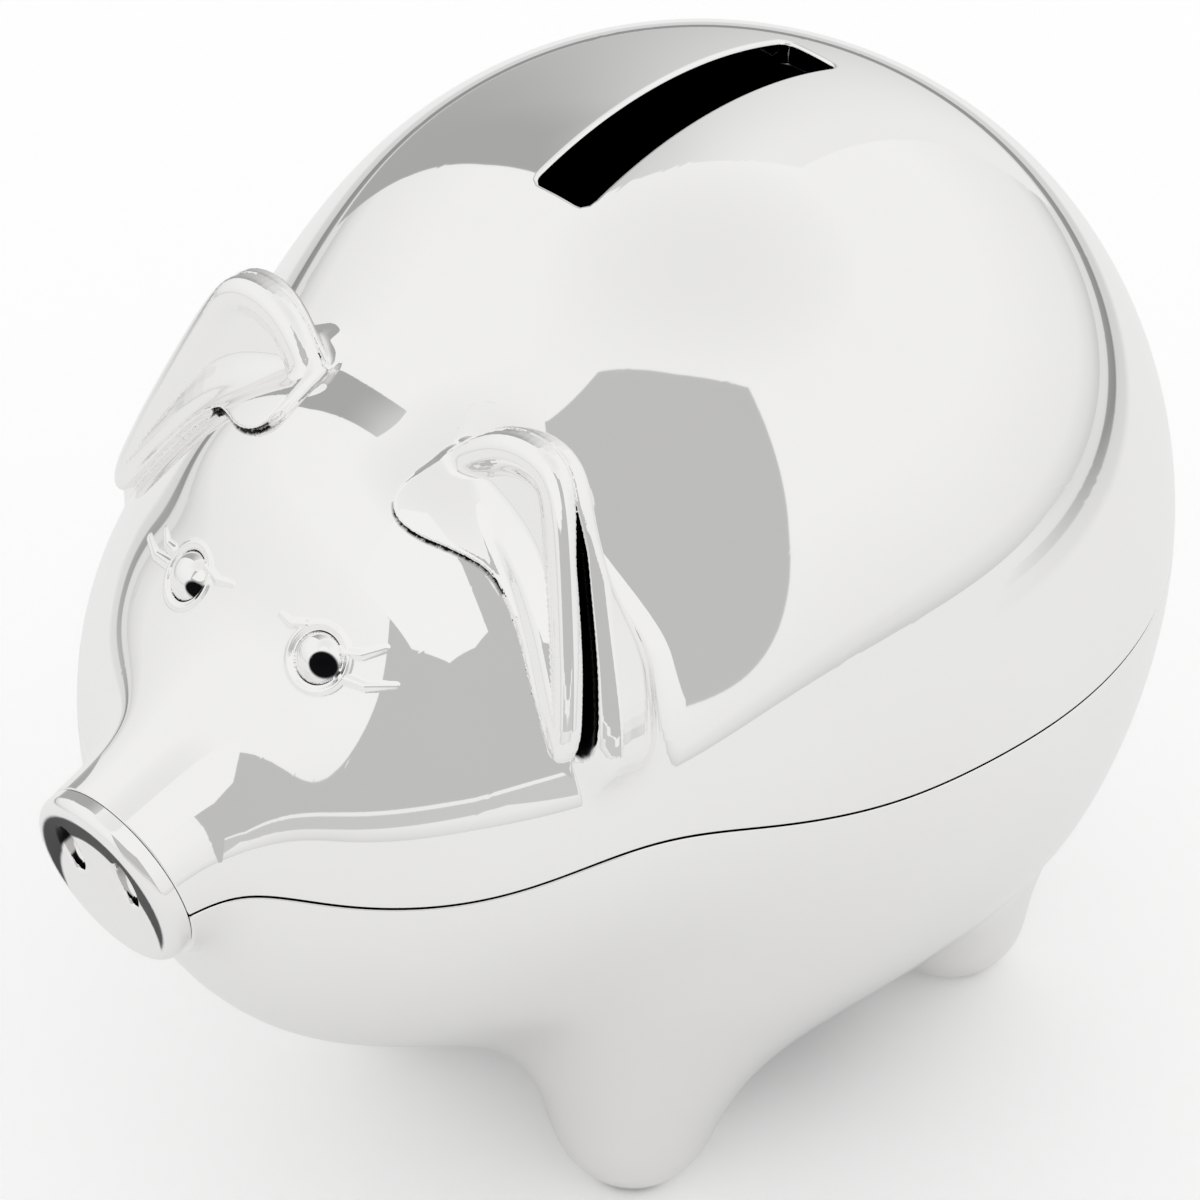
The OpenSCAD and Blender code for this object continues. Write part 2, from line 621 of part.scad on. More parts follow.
// ---- One module for each node that comes in pairs or fours ----
module ear_left() { color(silver) in_frame() ear_body(); }
module ear_right() { color(silver) in_frame() mirror([1, 0, 0]) ear_body(); }
module eye_left() { color(silver) eye_body(1); }
module eye_right() { color(silver) eye_body(-1); }
module screw_front_left() { color(steel) screw_body(feet[0]); }
module screw_front_right() { color(steel) screw_body(feet[1]); }
module screw_rear_left() { color(steel) screw_body(feet[2]); }
module screw_rear_right() { color(steel) screw_body(feet[3]); }
module rubber_foot_front_left() { color(rubber) rubber_foot_body(feet[0]); }
module rubber_foot_front_right() { color(rubber) rubber_foot_body(feet[1]); }
module rubber_foot_rear_left() { color(rubber) rubber_foot_body(feet[2]); }
module rubber_foot_rear_right() { color(rubber) rubber_foot_body(feet[3]); }

upper_shell();
lower_shell();
snout_plate();
ear_left();
ear_right();
eye_left();
eye_right();
tail();
belly_stopper();
screw_front_left();
screw_front_right();
screw_rear_left();
screw_rear_right();
rubber_foot_front_left();
rubber_foot_front_right();
rubber_foot_rear_left();
rubber_foot_rear_right();
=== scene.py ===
# Pig-shaped money box in mirror-polished silver plate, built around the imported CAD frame.
# Lengths in the dictionaries are millimetres, measured from under the middle of the round body.
# The pig faces -Y, its left side is +X and it stands on z = 0.
import bpy
import math
import numpy as np
from mathutils import Matrix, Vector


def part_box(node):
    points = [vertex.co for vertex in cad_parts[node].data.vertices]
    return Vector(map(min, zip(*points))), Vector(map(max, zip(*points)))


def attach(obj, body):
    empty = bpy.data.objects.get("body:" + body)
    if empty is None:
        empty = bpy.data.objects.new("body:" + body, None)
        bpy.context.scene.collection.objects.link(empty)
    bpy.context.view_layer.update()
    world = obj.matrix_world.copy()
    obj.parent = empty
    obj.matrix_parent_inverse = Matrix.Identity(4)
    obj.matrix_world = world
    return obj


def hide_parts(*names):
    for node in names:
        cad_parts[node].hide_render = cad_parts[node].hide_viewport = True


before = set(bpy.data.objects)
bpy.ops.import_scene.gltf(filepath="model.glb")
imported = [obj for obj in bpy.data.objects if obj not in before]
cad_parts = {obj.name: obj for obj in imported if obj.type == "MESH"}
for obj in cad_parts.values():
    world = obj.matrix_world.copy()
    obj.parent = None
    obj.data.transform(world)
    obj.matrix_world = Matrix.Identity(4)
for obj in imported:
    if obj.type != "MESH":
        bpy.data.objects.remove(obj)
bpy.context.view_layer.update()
print("frame loaded,", len(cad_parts), "nodes")


def boxMiddle(node):
    low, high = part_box(node)
    return np.array((low + high) / 2) * 1000


# The stopper sits under the middle of the round body
bodyShift = boxMiddle("belly_stopper")[1]

# The skin is a field that is negative inside the pig
trunk = {"halfWidth": 45.2, "halfLength": 45.3, "halfHeight": 49.0, "middleZ": 56.0, "topWider": 0.039}
head = {"y": -35.5, "z": 48.6, "halfWidth": 32.0, "halfLength": 32.0, "halfHeight": 28.8, "tilt": -6.4,
        "topWider": 0.299, "neckSoft": 22.8}
brow = {"y": -43.1, "z": 61.6, "halfWidth": 24.0, "halfLength": 13.7, "halfHeight": 22.9, "soft": 7.5}
snout = {"root": (0, -45.5, 59.6), "end": (0, -74.3, 51.5), "rootRadius": 10.5, "endRadius": 9.0,
         "soft": 8.5, "plate": 2.4}
legs = {"footRadius": 6.2, "topRadius": 5.9, "topZ": 27.3, "soft": 29.8, "leanX": 1.7, "leanY": 2.3}
footPlaces = [boxMiddle("rubber_foot_" + name) - (0, bodyShift, 0) for name in
              ("front_left", "front_right", "rear_left", "rear_right")]


def blendMin(a, b, soft):
    h = np.maximum(soft - np.abs(a - b), 0) / soft
    return np.minimum(a, b) - h * h * h * soft / 6


def ball(p, radii):
    q = p / radii
    near = np.linalg.norm(q, axis=-1)
    slope = np.linalg.norm(q / radii, axis=-1)
    return near * (near - 1) / np.maximum(slope, 0.0001)


snoutRoot, snoutEnd = np.array(snout["root"]), np.array(snout["end"])
snoutLength = np.linalg.norm(snoutEnd - snoutRoot)
snoutWay = (snoutEnd - snoutRoot) / snoutLength
shellEnd = snoutEnd - snout["plate"] * snoutWay


def legField(p, foot, leanY):
    top = np.array([foot[0] + legs["leanX"], foot[1] - leanY, legs["topZ"]])
    run = np.array([foot[0], foot[1], legs["footRadius"]]) - top
    share = np.clip((p - top) @ run / (run @ run), 0, 1)
    radius = legs["topRadius"] + (legs["footRadius"] - legs["topRadius"]) * share
    return np.linalg.norm(p - top - share[..., None] * run, axis=-1) - radius


def pigField(p, withLegs=True):
    x, y, z = p[..., 0], p[..., 1], p[..., 2]
    wide = 1 + trunk["topWider"] * (z - trunk["middleZ"]) / trunk["halfHeight"]
    body = ball(np.stack([x / wide, y / wide, z - trunk["middleZ"]], -1),
                np.array([trunk["halfWidth"], trunk["halfLength"], trunk["halfHeight"]]))
    t = math.radians(head["tilt"])
    dy, dz = y - head["y"], z - head["z"]
    along, up = dy * math.cos(t) + dz * math.sin(t), dz * math.cos(t) - dy * math.sin(t)
    wide = 1 + head["topWider"] * up / head["halfHeight"]
    face = ball(np.stack([x / wide, along, up], -1),
                np.array([head["halfWidth"], head["halfLength"], head["halfHeight"]]))
    forehead = ball(np.stack([x, y - brow["y"], z - brow["z"]], -1),
                    np.array([brow["halfWidth"], brow["halfLength"], brow["halfHeight"]]))
    face = blendMin(face, forehead, brow["soft"])
    run = (p - snoutRoot) @ snoutWay
    off = np.linalg.norm(p - snoutRoot - run[..., None] * snoutWay, axis=-1)
    cone = off - snout["rootRadius"] - (snout["endRadius"] - snout["rootRadius"]) * np.clip(run / snoutLength, 0, 1.2)
    face = blendMin(face, np.maximum(cone, -run - snout["rootRadius"]), snout["soft"])
    whole = blendMin(body, face, head["neckSoft"])
    if withLegs:
        q = np.stack([np.abs(x), y, z], -1)
        whole = blendMin(whole, legField(q, footPlaces[0], -legs["leanY"]), legs["soft"])
        whole = blendMin(whole, legField(q, footPlaces[2], legs["leanY"]), legs["soft"])
    return whole


def slope(field, p, h=0.02):
    steps = np.eye(3) * h
    return np.stack([(field(p + s) - field(p - s)) / (2 * h) for s in steps], -1)


def unit(v):
    return v / np.maximum(np.linalg.norm(v, axis=-1, keepdims=True), 1e-9)


def settle(field, p, rounds=5, longest=0.25):
    for _ in range(rounds):
        g = slope(field, p)
        move = g * (field(p) / np.maximum((g * g).sum(-1), 1e-6))[:, None]
        p = p - move * np.minimum(1, longest / np.maximum(np.linalg.norm(move, axis=-1), 1e-9))[:, None]
    return p


# Meshes are laid on the zero of a field
def surfaceNet(field, low, high, step):
    counts = [int(math.ceil((high[k] - low[k]) / step)) + 1 for k in range(3)]
    axes = [low[k] + step * np.arange(counts[k]) for k in range(3)]
    values = np.empty(counts)
    for i, x in enumerate(axes[0]):
        gy, gz = np.meshgrid(axes[1], axes[2], indexing="ij")
        values[i] = field(np.stack([np.full_like(gy, x), gy, gz], -1))
    cells = [c - 1 for c in counts]
    total = np.zeros(cells + [3])
    hits = np.zeros(cells)
    quads = []
    for axis in range(3):
        a, b = (axis + 1) % 3, (axis + 2) % 3
        v0, v1 = np.take(values, range(counts[axis] - 1), axis), np.take(values, range(1, counts[axis]), axis)
        crossed = (v0 < 0) != (v1 < 0)
        where = np.argwhere(crossed)
        first = v0[crossed]
        share = first / (first - v1[crossed])
        point = np.array(low) + where * step
        point[:, axis] += share * step
        ring = []
        for da, db in ((0, 0), (-1, 0), (-1, -1), (0, -1)):
            cell = where.copy()
            cell[:, a] += da
            cell[:, b] += db
            inside = np.all((cell >= 0) & (cell < cells), axis=1)
            np.add.at(total, tuple(cell[inside].T), point[inside])
            np.add.at(hits, tuple(cell[inside].T), 1)
            ring.append((cell, inside))
        full = ring[0][1] & ring[1][1] & ring[2][1] & ring[3][1]
        flat = [np.ravel_multi_index(cell[full].T, cells) for cell, _ in ring]
        outward = first[full] < 0
        quads.append(np.where(outward[:, None], np.stack(flat, 1), np.stack(flat[::-1], 1)))
    used = np.argwhere(hits > 0)
    ids = np.full(int(np.prod(cells)), -1)
    ids[np.ravel_multi_index(used.T, cells)] = np.arange(len(used))
    points = total[tuple(used.T)] / hits[tuple(used.T)][:, None]
    return points, ids[np.concatenate(quads)]


class Skin:
    # Points with their own normals, and faces; the loops of open edges carry the rims
    def __init__(self, points, normals, faces):
        self.points, self.normals = np.array(points), np.array(normals)
        self.faces = [tuple(int(i) for i in f) for f in faces]
        # recess is a per-point mask of painted shade and painted dark reflections
        self.recess = np.zeros(len(self.points))

    def add(self, points, normals, recess=0.0):
        start = len(self.points)
        self.points = np.vstack([self.points, points])
        self.normals = np.vstack([self.normals, normals])
        self.recess = np.concatenate([self.recess, np.full(len(points), recess)])
        return list(range(start, start + len(points)))

    def join(self, ring, nextRing):
        n = len(ring)
        for i in range(n):
            j = (i + 1) % n
            self.faces.append((ring[j], ring[i], nextRing[i], nextRing[j]))

    def cap(self, ring, point, normal):
        middle = self.add([point], [normal])[0]
        n = len(ring)
        for i in range(n):
            self.faces.append((ring[(i + 1) % n], ring[i], middle))

    def loops(self):
        ahead = {}
        edges = set()
        for f in self.faces:
            for a, b in zip(f, f[1:] + f[:1]):
                edges.add((a, b))
        for a, b in edges:
            if (b, a) not in edges:
                ahead[a] = b
        found = []
        while ahead:
            start = next(iter(ahead))
            loop, at = [start], ahead.pop(start)
            while at != start:
                loop.append(at)
                at = ahead.pop(at)
            found.append(loop)
        return found

    def tidy(self):
        used = sorted({i for f in self.faces for i in f})
        new = {old: i for i, old in enumerate(used)}
        self.points, self.normals, self.recess = self.points[used], self.normals[used], self.recess[used]
        self.faces = [tuple(new[i] for i in f) for f in self.faces]


def cutAway(skin, side, field):
    values = side(skin.points)
    # A point that almost lies on the cut is put on it, so that no thin faces remain
    snap, onCut = 0.12, 1e-9
    near = np.abs(values) < snap
    skin.points[near] = slideTo(side, field, skin.points[near])
    values[near] = onCut
    skin.normals[near] = unit(slope(field, skin.points[near]))
    kept, made, pairs = [], {}, []
    for f in skin.faces:
        v = [values[i] for i in f]
        if min(v) > 0:
            kept.append(f)
            continue
        if max(v) <= onCut:
            continue
        ring = []
        for k, a in enumerate(f):
            b = f[(k + 1) % len(f)]
            if values[a] > 0:
                ring.append(a)
            if (values[a] > 0) != (values[b] > 0) and onCut not in (values[a], values[b]):
                key = (min(a, b), max(a, b))
                if key not in made:
                    made[key] = len(skin.points) + len(pairs)
                    t = values[a] / (values[a] - values[b])
                    pairs.append(skin.points[a] + (skin.points[b] - skin.points[a]) * t)
                ring.append(made[key])
        if len(ring) > 2:
            kept.append(tuple(ring))
    if pairs:
        points = slideTo(side, field, np.array(pairs))
        skin.add(points, unit(slope(field, points)))
    skin.faces = kept
    skin.tidy()


def slideTo(side, field, points):
    for _ in range(8):
        n = slope(field, points)
        points = points - n * (field(points) / np.maximum((n * n).sum(-1), 1e-6))[:, None]
        n = unit(n)
        g = slope(side, points)
        t = g - (g * n).sum(-1, keepdims=True) * n
        points = points - t * (side(points) / np.maximum((t * t).sum(-1), 1e-4))[:, None]
    return points


def relax(field, points, faces, rounds=2):
    faces = np.asarray(faces)
    for _ in range(rounds):
        middle = points[faces].mean(1)
        total, hits = np.zeros_like(points), np.zeros(len(points))
        for k in range(faces.shape[1]):
            np.add.at(total, faces[:, k], middle)
            np.add.at(hits, faces[:, k], 1)
        points = settle(field, total / np.maximum(hits, 1)[:, None], 3)
    return points


def fieldSkin(field, low, high, step, netField=None):
    points, faces = surfaceNet(netField or field, low, high, step)
    points = relax(field, settle(field, points), faces)
    return Skin(points, unit(slope(field, points)), faces)


def roundEdge(skin, ids, wallWay, lip, steps=4):
    # A rounded edge between the skin and a wall that faces wallWay; returns the last ring
    p, n = skin.points[ids], skin.normals[ids]
    radius = (lip / np.maximum(1 - (n * wallWay).sum(-1), 0.3))[:, None]
    ring = ids
    for k in range(1, steps + 1):
        t = k / steps * math.pi / 2
        way = unit(n * math.cos(t) + wallWay * math.sin(t))
        if k == steps:
            way = wallWay
        nextRing = skin.add(p - radius * n + radius * way, way)
        skin.join(ring, nextRing)
        ring = nextRing
    return ring


def layRings(skin, ring, rings):
    for points, normals in rings:
        nextRing = skin.add(points, normals)
        skin.join(ring, nextRing)
        ring = nextRing
    return ring


def makeObject(skin, name, finish):
    mesh = bpy.data.meshes.new(name)
    points = (skin.points + (0, bodyShift, 0)) / 1000
    mesh.from_pydata(points.tolist(), [], skin.faces)
    mesh.update()
    for polygon in mesh.polygons:
        polygon.use_smooth = True
    mesh.normals_split_custom_set_from_vertices(unit(skin.normals).tolist())
    mesh.materials.append(finish)
    # The recess attribute carries the painted shade and painted dark reflections to the finish
    mesh.attributes.new("recess", "FLOAT", "POINT").data.foreach_set("value", skin.recess.astype(np.float32))
    piece = bpy.data.objects.new(name, mesh)
    bpy.context.scene.collection.objects.link(piece)
    return piece


# Upper and lower shell
shell = {"wall": 2.3, "seamGap": 0.25, "seamRearZ": 59.2, "seamRise": 3.5, "seamRiseY": -39.9,
         "seamRiseLength": 11.9, "seamDip": 0.5, "seamDipY": -16.0, "seamDipLength": 9.0, "seamLip": 0.12,
         "mesh": 0.8}
slot = {"width": 6.7, "length": 32.2, "y": -2.8, "cornerRadius": 1.0, "lip": 0.5}
eye = {"x": 8.7, "z": 72.1, "socketRadius": 2.85, "socketDepth": 0.9, "domeRadius": 2.5, "domeHeight": 1.7,
       "flange": 0.5, "lip": 0.2, "ringRadius": 3.02, "ringWire": 0.25,
       # Across, up and size of the painted dark reflection on each dome
       "reflectionSpots": {"left": (1.1, -0.35, 1.3), "right": (2.1, -0.35, 0.85)}}
outlet = {"radius": 14.0, "flangeRadius": 16.5, "clear": 0.3, "seat": 2.4, "neck": 5.6, "lip": 0.35}
rubberFoot = {"radius": 3.2, "length": 5.0, "proud": 0.2, "clear": 0.06, "lip": 0.25}


def seamHeight(y):
    share = (y - shellEnd[1]) / (trunk["halfLength"] - shellEnd[1])
    rise = (y - shell["seamRiseY"]) / shell["seamRiseLength"]
    dip = (y - shell["seamDipY"]) / shell["seamDipLength"]
    return (shellEnd[2] + (shell["seamRearZ"] - shellEnd[2]) * share + shell["seamRise"] * np.exp(-rise * rise)
            - shell["seamDip"] * np.exp(-dip * dip))


def beforeSnoutEnd(p):
    return (shellEnd - p) @ snoutWay


def slotDistance(p):
    qx = np.abs(p[..., 0]) - slot["width"] / 2 + slot["cornerRadius"]
    qy = np.abs(p[..., 1] - slot["y"]) - slot["length"] / 2 + slot["cornerRadius"]
    outside = np.hypot(np.maximum(qx, 0), np.maximum(qy, 0))
    return outside + np.minimum(np.maximum(qx, qy), 0) - slot["cornerRadius"]


def axisDistance(p, x, y):
    return np.hypot(p[..., 0] - x, p[..., 1] - y)


def closeShell(skin, wallWays):
    # The inner skin lies one wall under the outer one and is painted dark as shade; wallWays gives each loop its edge
    loops = skin.loops()
    count = len(skin.points)
    outerFaces = list(skin.faces)
    inner = skin.points - shell["wall"] * skin.normals
    skin.add(inner, -skin.normals, 1.0)
    skin.faces += [tuple(i + count for i in f[::-1]) for f in outerFaces]
    for loop in loops:
        points = skin.points[loop]
        innerRing = [i + count for i in loop]
        wallWay, lip, extra = wallWays(points)
        last = roundEdge(skin, loop, wallWay, lip)
        if extra is not None:
            last = layRings(skin, last, extra)
        else:
            wall = skin.points[last]
            under = skin.points[innerRing]
            under = under + ((wall - under) * wallWay).sum(-1)[:, None] * wallWay
            last = layRings(skin, last, [(under, wallWay)])
        skin.join(last, innerRing)
    return len(loops)


shellBox = ([-47.0, -79.0, -1.4], [47.0, 47.0, 107.0])
whole = fieldSkin(pigField, shellBox[0], shellBox[1], shell["mesh"],
                  lambda p: np.maximum(pigField(p), -beforeSnoutEnd(p) - 4.0))
print("skin laid,", len(whole.faces), "faces")


def seamWay(sign):
    def way(points):
        onEnd = np.abs(beforeSnoutEnd(points) - shell["seamLip"]) < 0.02
        onSeam = np.abs(points[:, 2] - seamHeight(points[:, 1])) < shell["seamLip"] + shell["seamGap"] + 0.02
        h = 0.05
        tilt = (seamHeight(points[:, 1] + h) - seamHeight(points[:, 1] - h)) / (2 * h)
        along = unit(np.stack([np.zeros_like(tilt), sign * tilt, -sign * np.ones_like(tilt)], -1))
        return unit(along * onSeam[:, None] + snoutWay * onEnd[:, None])
    return way


def upperEdges(points):
    if points[:, 2].min() > 90:
        h = 0.02
        flat = np.zeros_like(points)
        for k in (0, 1):
            step = np.eye(3)[k] * h
            flat[:, k] = (slotDistance(points - step) - slotDistance(points + step)) / (2 * h)
        return unit(flat), slot["lip"], None
    return seamWay(1)(points), shell["seamLip"], None


upper = Skin(whole.points, whole.normals, whole.faces)
cutAway(upper, lambda p: p[..., 2] - seamHeight(p[..., 1]) - shell["seamLip"], pigField)
cutAway(upper, lambda p: beforeSnoutEnd(p) - shell["seamLip"], pigField)
cutAway(upper, lambda p: np.where(p[..., 2] > 80, slotDistance(p) - slot["lip"], 9.0), pigField)
print("upper shell:", closeShell(upper, upperEdges), "edges")


def frameAt(point, way):
    across = unit(np.cross((0, 0, 1), way))
    return np.array(point), across, np.cross(way, across), np.array(way)


def walkTo(start, way, withLegs=True):
    p = np.array([start], float)
    for _ in range(90):
        p = p - np.array(way) * pigField(p, withLegs)[:, None]
    return p[0]


eyeFrames = {}
for name, side in (("left", 1), ("right", -1)):
    middle = walkTo((side * eye["x"], head["y"], eye["z"]), (0, -1, 0), False)
    eyeFrames[name] = frameAt(middle, unit(slope(pigField, middle[None]))[0])


def socketDistance(p, place, radius):
    middle, across, up, out = place
    d = p - middle
    return np.maximum(np.hypot(d @ across, d @ up) - radius, np.abs(d @ out) - 1.3)


def openSockets(skin):
    for name, place in eyeFrames.items():
        middle, across, up, out = place
        edge = eye["socketRadius"] + eye["lip"]
        cutAway(skin, lambda p: socketDistance(p, place, edge), pigField)
        loop = skin.loops()[0]
        d = skin.points[loop] - middle
        inward = unit(-(d @ across)[:, None] * across - (d @ up)[:, None] * up)
        ring = roundEdge(skin, loop, inward, eye["lip"])
        wall = skin.points[ring]
        floor = wall - ((wall - middle) @ out + eye["socketDepth"])[:, None] * out
        outward = np.tile(out, (len(loop), 1))
        ring = layRings(skin, ring, [(floor, unit(inward + out)), (floor + inward * 0.4, outward)])
        skin.cap(ring, middle - eye["socketDepth"] * out, out)


openSockets(upper)
lower = Skin(whole.points, whole.normals, whole.faces)
cutAway(lower, lambda p: seamHeight(p[..., 1]) - shell["seamGap"] - shell["seamLip"] - p[..., 2], pigField)
cutAway(lower, lambda p: beforeSnoutEnd(p) - shell["seamLip"], pigField)
recess = outlet["flangeRadius"] + outlet["clear"]
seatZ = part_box("belly_stopper")[1].z * 1000 - outlet["neck"]
cutAway(lower, lambda p: np.where(p[..., 2] < 24, axisDistance(p, 0, 0) - recess - outlet["lip"], 9.0), pigField)
for place in footPlaces:
    cutAway(lower, lambda p: np.where(p[..., 2] < 8, axisDistance(p, place[0], place[1]) - rubberFoot["radius"]
                                      - rubberFoot["clear"] - rubberFoot["lip"], 9.0), pigField)


def lowerEdges(points):
    if points[:, 2].max() > 30:
        return seamWay(-1)(points), shell["seamLip"], None
    middle = points.mean(0)
    if np.hypot(middle[0], middle[1]) < 5:
        inward = unit(points * (-1, -1, 0))
        level = np.array([0, 0, 1.0])

        def ringAt(radius, z, normal):
            normals = np.tile(normal, (len(points), 1)) if np.ndim(normal) == 1 else normal
            return -inward * radius + level * z, unit(normals)
        bore = outlet["radius"] + 0.02
        down, corner = -level, unit(inward - level)
        rings = [ringAt(recess, seatZ - 0.25, inward), ringAt(recess - 0.08, seatZ - 0.08, corner),
                 ringAt(recess - 0.25, seatZ, down), ringAt(bore + 0.4, seatZ, down),
                 ringAt(bore + 0.12, seatZ + 0.12, corner), ringAt(bore, seatZ + 0.4, inward),
                 ringAt(bore, seatZ + outlet["seat"] - 0.3, inward),
                 ringAt(bore + 0.3, seatZ + outlet["seat"], level)]
        return inward, outlet["lip"], rings
    inward = unit((middle - points) * (1, 1, 0))
    return inward, rubberFoot["lip"], None


print("lower shell:", closeShell(lower, lowerEdges), "edges")


# Ears, lashes and the rings round the eyes are raised pieces that flow out of the skin
def raisedPiece(detail, soft, low, high, step, depth=0.5, edge=0.9):
    # The skin of detail blended with the pig, cut where the blend fades, with its back inside the wall
    def joined(p):
        return blendMin(pigField(p, False), detail(p), soft(p) if callable(soft) else soft)

    def reach(p):
        return (soft(p) if callable(soft) else soft) * edge - detail(p)
    skin = fieldSkin(joined, low, high, step)
    cutAway(skin, reach, joined)
    for loop in skin.loops():
        p, n = skin.points[loop], skin.normals[loop]
        side = unit(np.cross(n, np.roll(p, -1, 0) - np.roll(p, 1, 0)))
        ring = layRings(skin, loop, [(p - 0.03 * n, unit(n + side)), (p - depth * n, side)])
        skin.cap(ring, skin.points[ring].mean(0) - 0.6 * n.mean(0), -unit(n.mean(0)))
    return skin


ear = {"frontY": -43.0, "lean": 0.3, "leanFrom": 81.9, "crest": 3.9, "foot": 4.2, "round": 1.25, "pad": 0.8,
       "dish": 1.3, "bead": 1.5, "slotAt": 2.0, "slotHalf": 0.6, "slotDepth": 3.0, "spread": 2.4, "mesh": 0.25}
# Outline of the ear seen from the front, across and up, at its front leaf and its back leaf
earFront = [(7.9, 84.9), (8.4, 86.6), (10.6, 89.0), (13.7, 91.0), (17.1, 91.8), (20.3, 91.5), (22.4, 90.2),
            (23.8, 88.0), (25.4, 84.5), (27.9, 78.2), (29.4, 74.0), (31.0, 68.5), (29.4, 66.5), (27.2, 69.5),
            (25.0, 72.6), (22.2, 76.6), (18.4, 80.4), (15.0, 81.9), (11.6, 82.7), (9.2, 83.6)]
earBack = [(7.2, 80.5), (8.1, 82.6), (10.5, 86.6), (13.7, 90.2), (17.9, 91.8), (22.0, 91.1), (24.9, 88.0),
           (27.8, 81.0), (31.2, 73.8), (32.8, 70.4), (34.0, 66.5), (30.0, 63.0), (20.0, 66.0), (9.0, 76.0)]


def smoothOutline(points, times=2):
    p = np.array(points)
    for _ in range(times):
        q = np.roll(p, -1, 0)
        p = np.stack([p * 0.75 + q * 0.25, p * 0.25 + q * 0.75], 1).reshape(-1, 2)
    return p


def outlineDistance(outline, x, z):
    best = np.full(x.shape, 1e9)
    inside = np.zeros(x.shape, bool)
    for (ax, az), (bx, bz) in zip(outline, np.roll(outline, -1, 0)):
        ex, ez = bx - ax, bz - az
        t = np.clip(((x - ax) * ex + (z - az) * ez) / (ex * ex + ez * ez), 0, 1)
        best = np.minimum(best, (x - ax - t * ex) ** 2 + (z - az - t * ez) ** 2)
        crosses = (az > z) != (bz > z)
        inside ^= crosses & (x < ax + (z - az) * ex / (ez if ez else 1e-9))
    return np.where(inside, -1, 1) * np.sqrt(best)


def smoothStep(x):
    x = np.clip(x, 0, 1)
    return x * x * (3 - 2 * x)


def roundMax(a, b, r):
    return np.minimum(np.maximum(a, b), -r) + np.hypot(np.maximum(a + r, 0), np.maximum(b + r, 0))


frontOutline, backOutline = smoothOutline(earFront), smoothOutline(earBack)


def earParts(p):
    x, y, z = np.abs(p[..., 0]), p[..., 1], p[..., 2]
    behind = y - ear["frontY"] - ear["lean"] * (z - ear["leanFrom"])
    front, back = outlineDistance(frontOutline, x, z), outlineDistance(backOutline, x, z)
    share = smoothStep((behind - ear["slotAt"]) / ear["spread"])
    edge = front * (1 - share) + back * share
    low = smoothStep((89.0 - z) / 16.0)
    # The groove between the two leaves runs down both sides and closes under the fold
    innerSide = np.where(x < 17, 1.0 + 0.9 * smoothStep((86 - z) / 6.0), 1.0)
    half = ear["slotHalf"] * smoothStep((89.0 - z) / 6.0) * innerSide
    across = np.abs(behind - ear["slotAt"] - 0.5 * low) - half
    return behind, front, edge, low, across, -edge - ear["slotDepth"]


def earField(p):
    behind, front, edge, low, across, deep = earParts(p)
    hollow = ear["dish"] * smoothStep((-front - ear["bead"]) / 2.6)
    thick = ear["crest"] + ear["foot"] * low ** 1.5
    leaf = roundMax(edge, np.maximum(hollow - behind, behind - thick), ear["round"])
    # Low on the forehead the front leaf lies on the skin like a thin pad
    pad = roundMax(front, np.maximum(pigField(p, False) - ear["pad"], behind - 2.5), 0.5)
    leaf = blendMin(leaf, pad, 1.0)
    return roundMax(leaf, -roundMax(across, deep, 0.3), 0.3)


def earPaintedShade(p):
    # Painted shade: dark in the groove between the two leaves, and a thin painted shadow line just outside the pad's
    # edge
    behind, front, edge, low, across, deep = earParts(p)
    grooveShade = smoothStep((-edge - 0.5) / 0.4) * smoothStep((0.25 - across) / 0.2) * (behind > 0.4)
    creaseShadow = (smoothStep((front - 0.02) / 0.12) * smoothStep((0.62 - front) / 0.12)
              * (behind < 2.2) * (np.abs(p[..., 0]) < 19.5) * (p[..., 2] < 84.0))
    return np.maximum(grooveShade, creaseShadow)


def earSoft(p):
    behind = p[..., 1] - ear["frontY"] - ear["lean"] * (p[..., 2] - ear["leanFrom"])
    return 0.7 + 3.8 * smoothStep((behind - 1.5) / 4.0)


def mirrored(skin):
    points, normals = skin.points * (-1, 1, 1), skin.normals * (-1, 1, 1)
    other = Skin(points, normals, [f[::-1] for f in skin.faces])
    other.recess = skin.recess.copy()
    return other


earLeft = raisedPiece(earField, earSoft, (3.0, -52.0, 61.0), (38.0, -27.0, 94.0), ear["mesh"])
earLeft.recess = earPaintedShade(earLeft.points)
print("ear:", len(earLeft.faces), "faces")

lashes = {"root": 0.42, "tip": 0.14, "soft": 0.4, "sink": 0.12, "mesh": 0.14,
          "left": [((10.7, 73.1), (14.0, 74.3)), ((11.4, 71.3), (16.1, 71.7)), ((6.3, 74.1), (3.5, 74.0))],
          "right": [((-12.0, 71.5), (-17.1, 71.0)), ((-12.2, 72.5), (-14.9, 72.8)), ((-6.9, 73.7), (-2.9, 74.0))]}


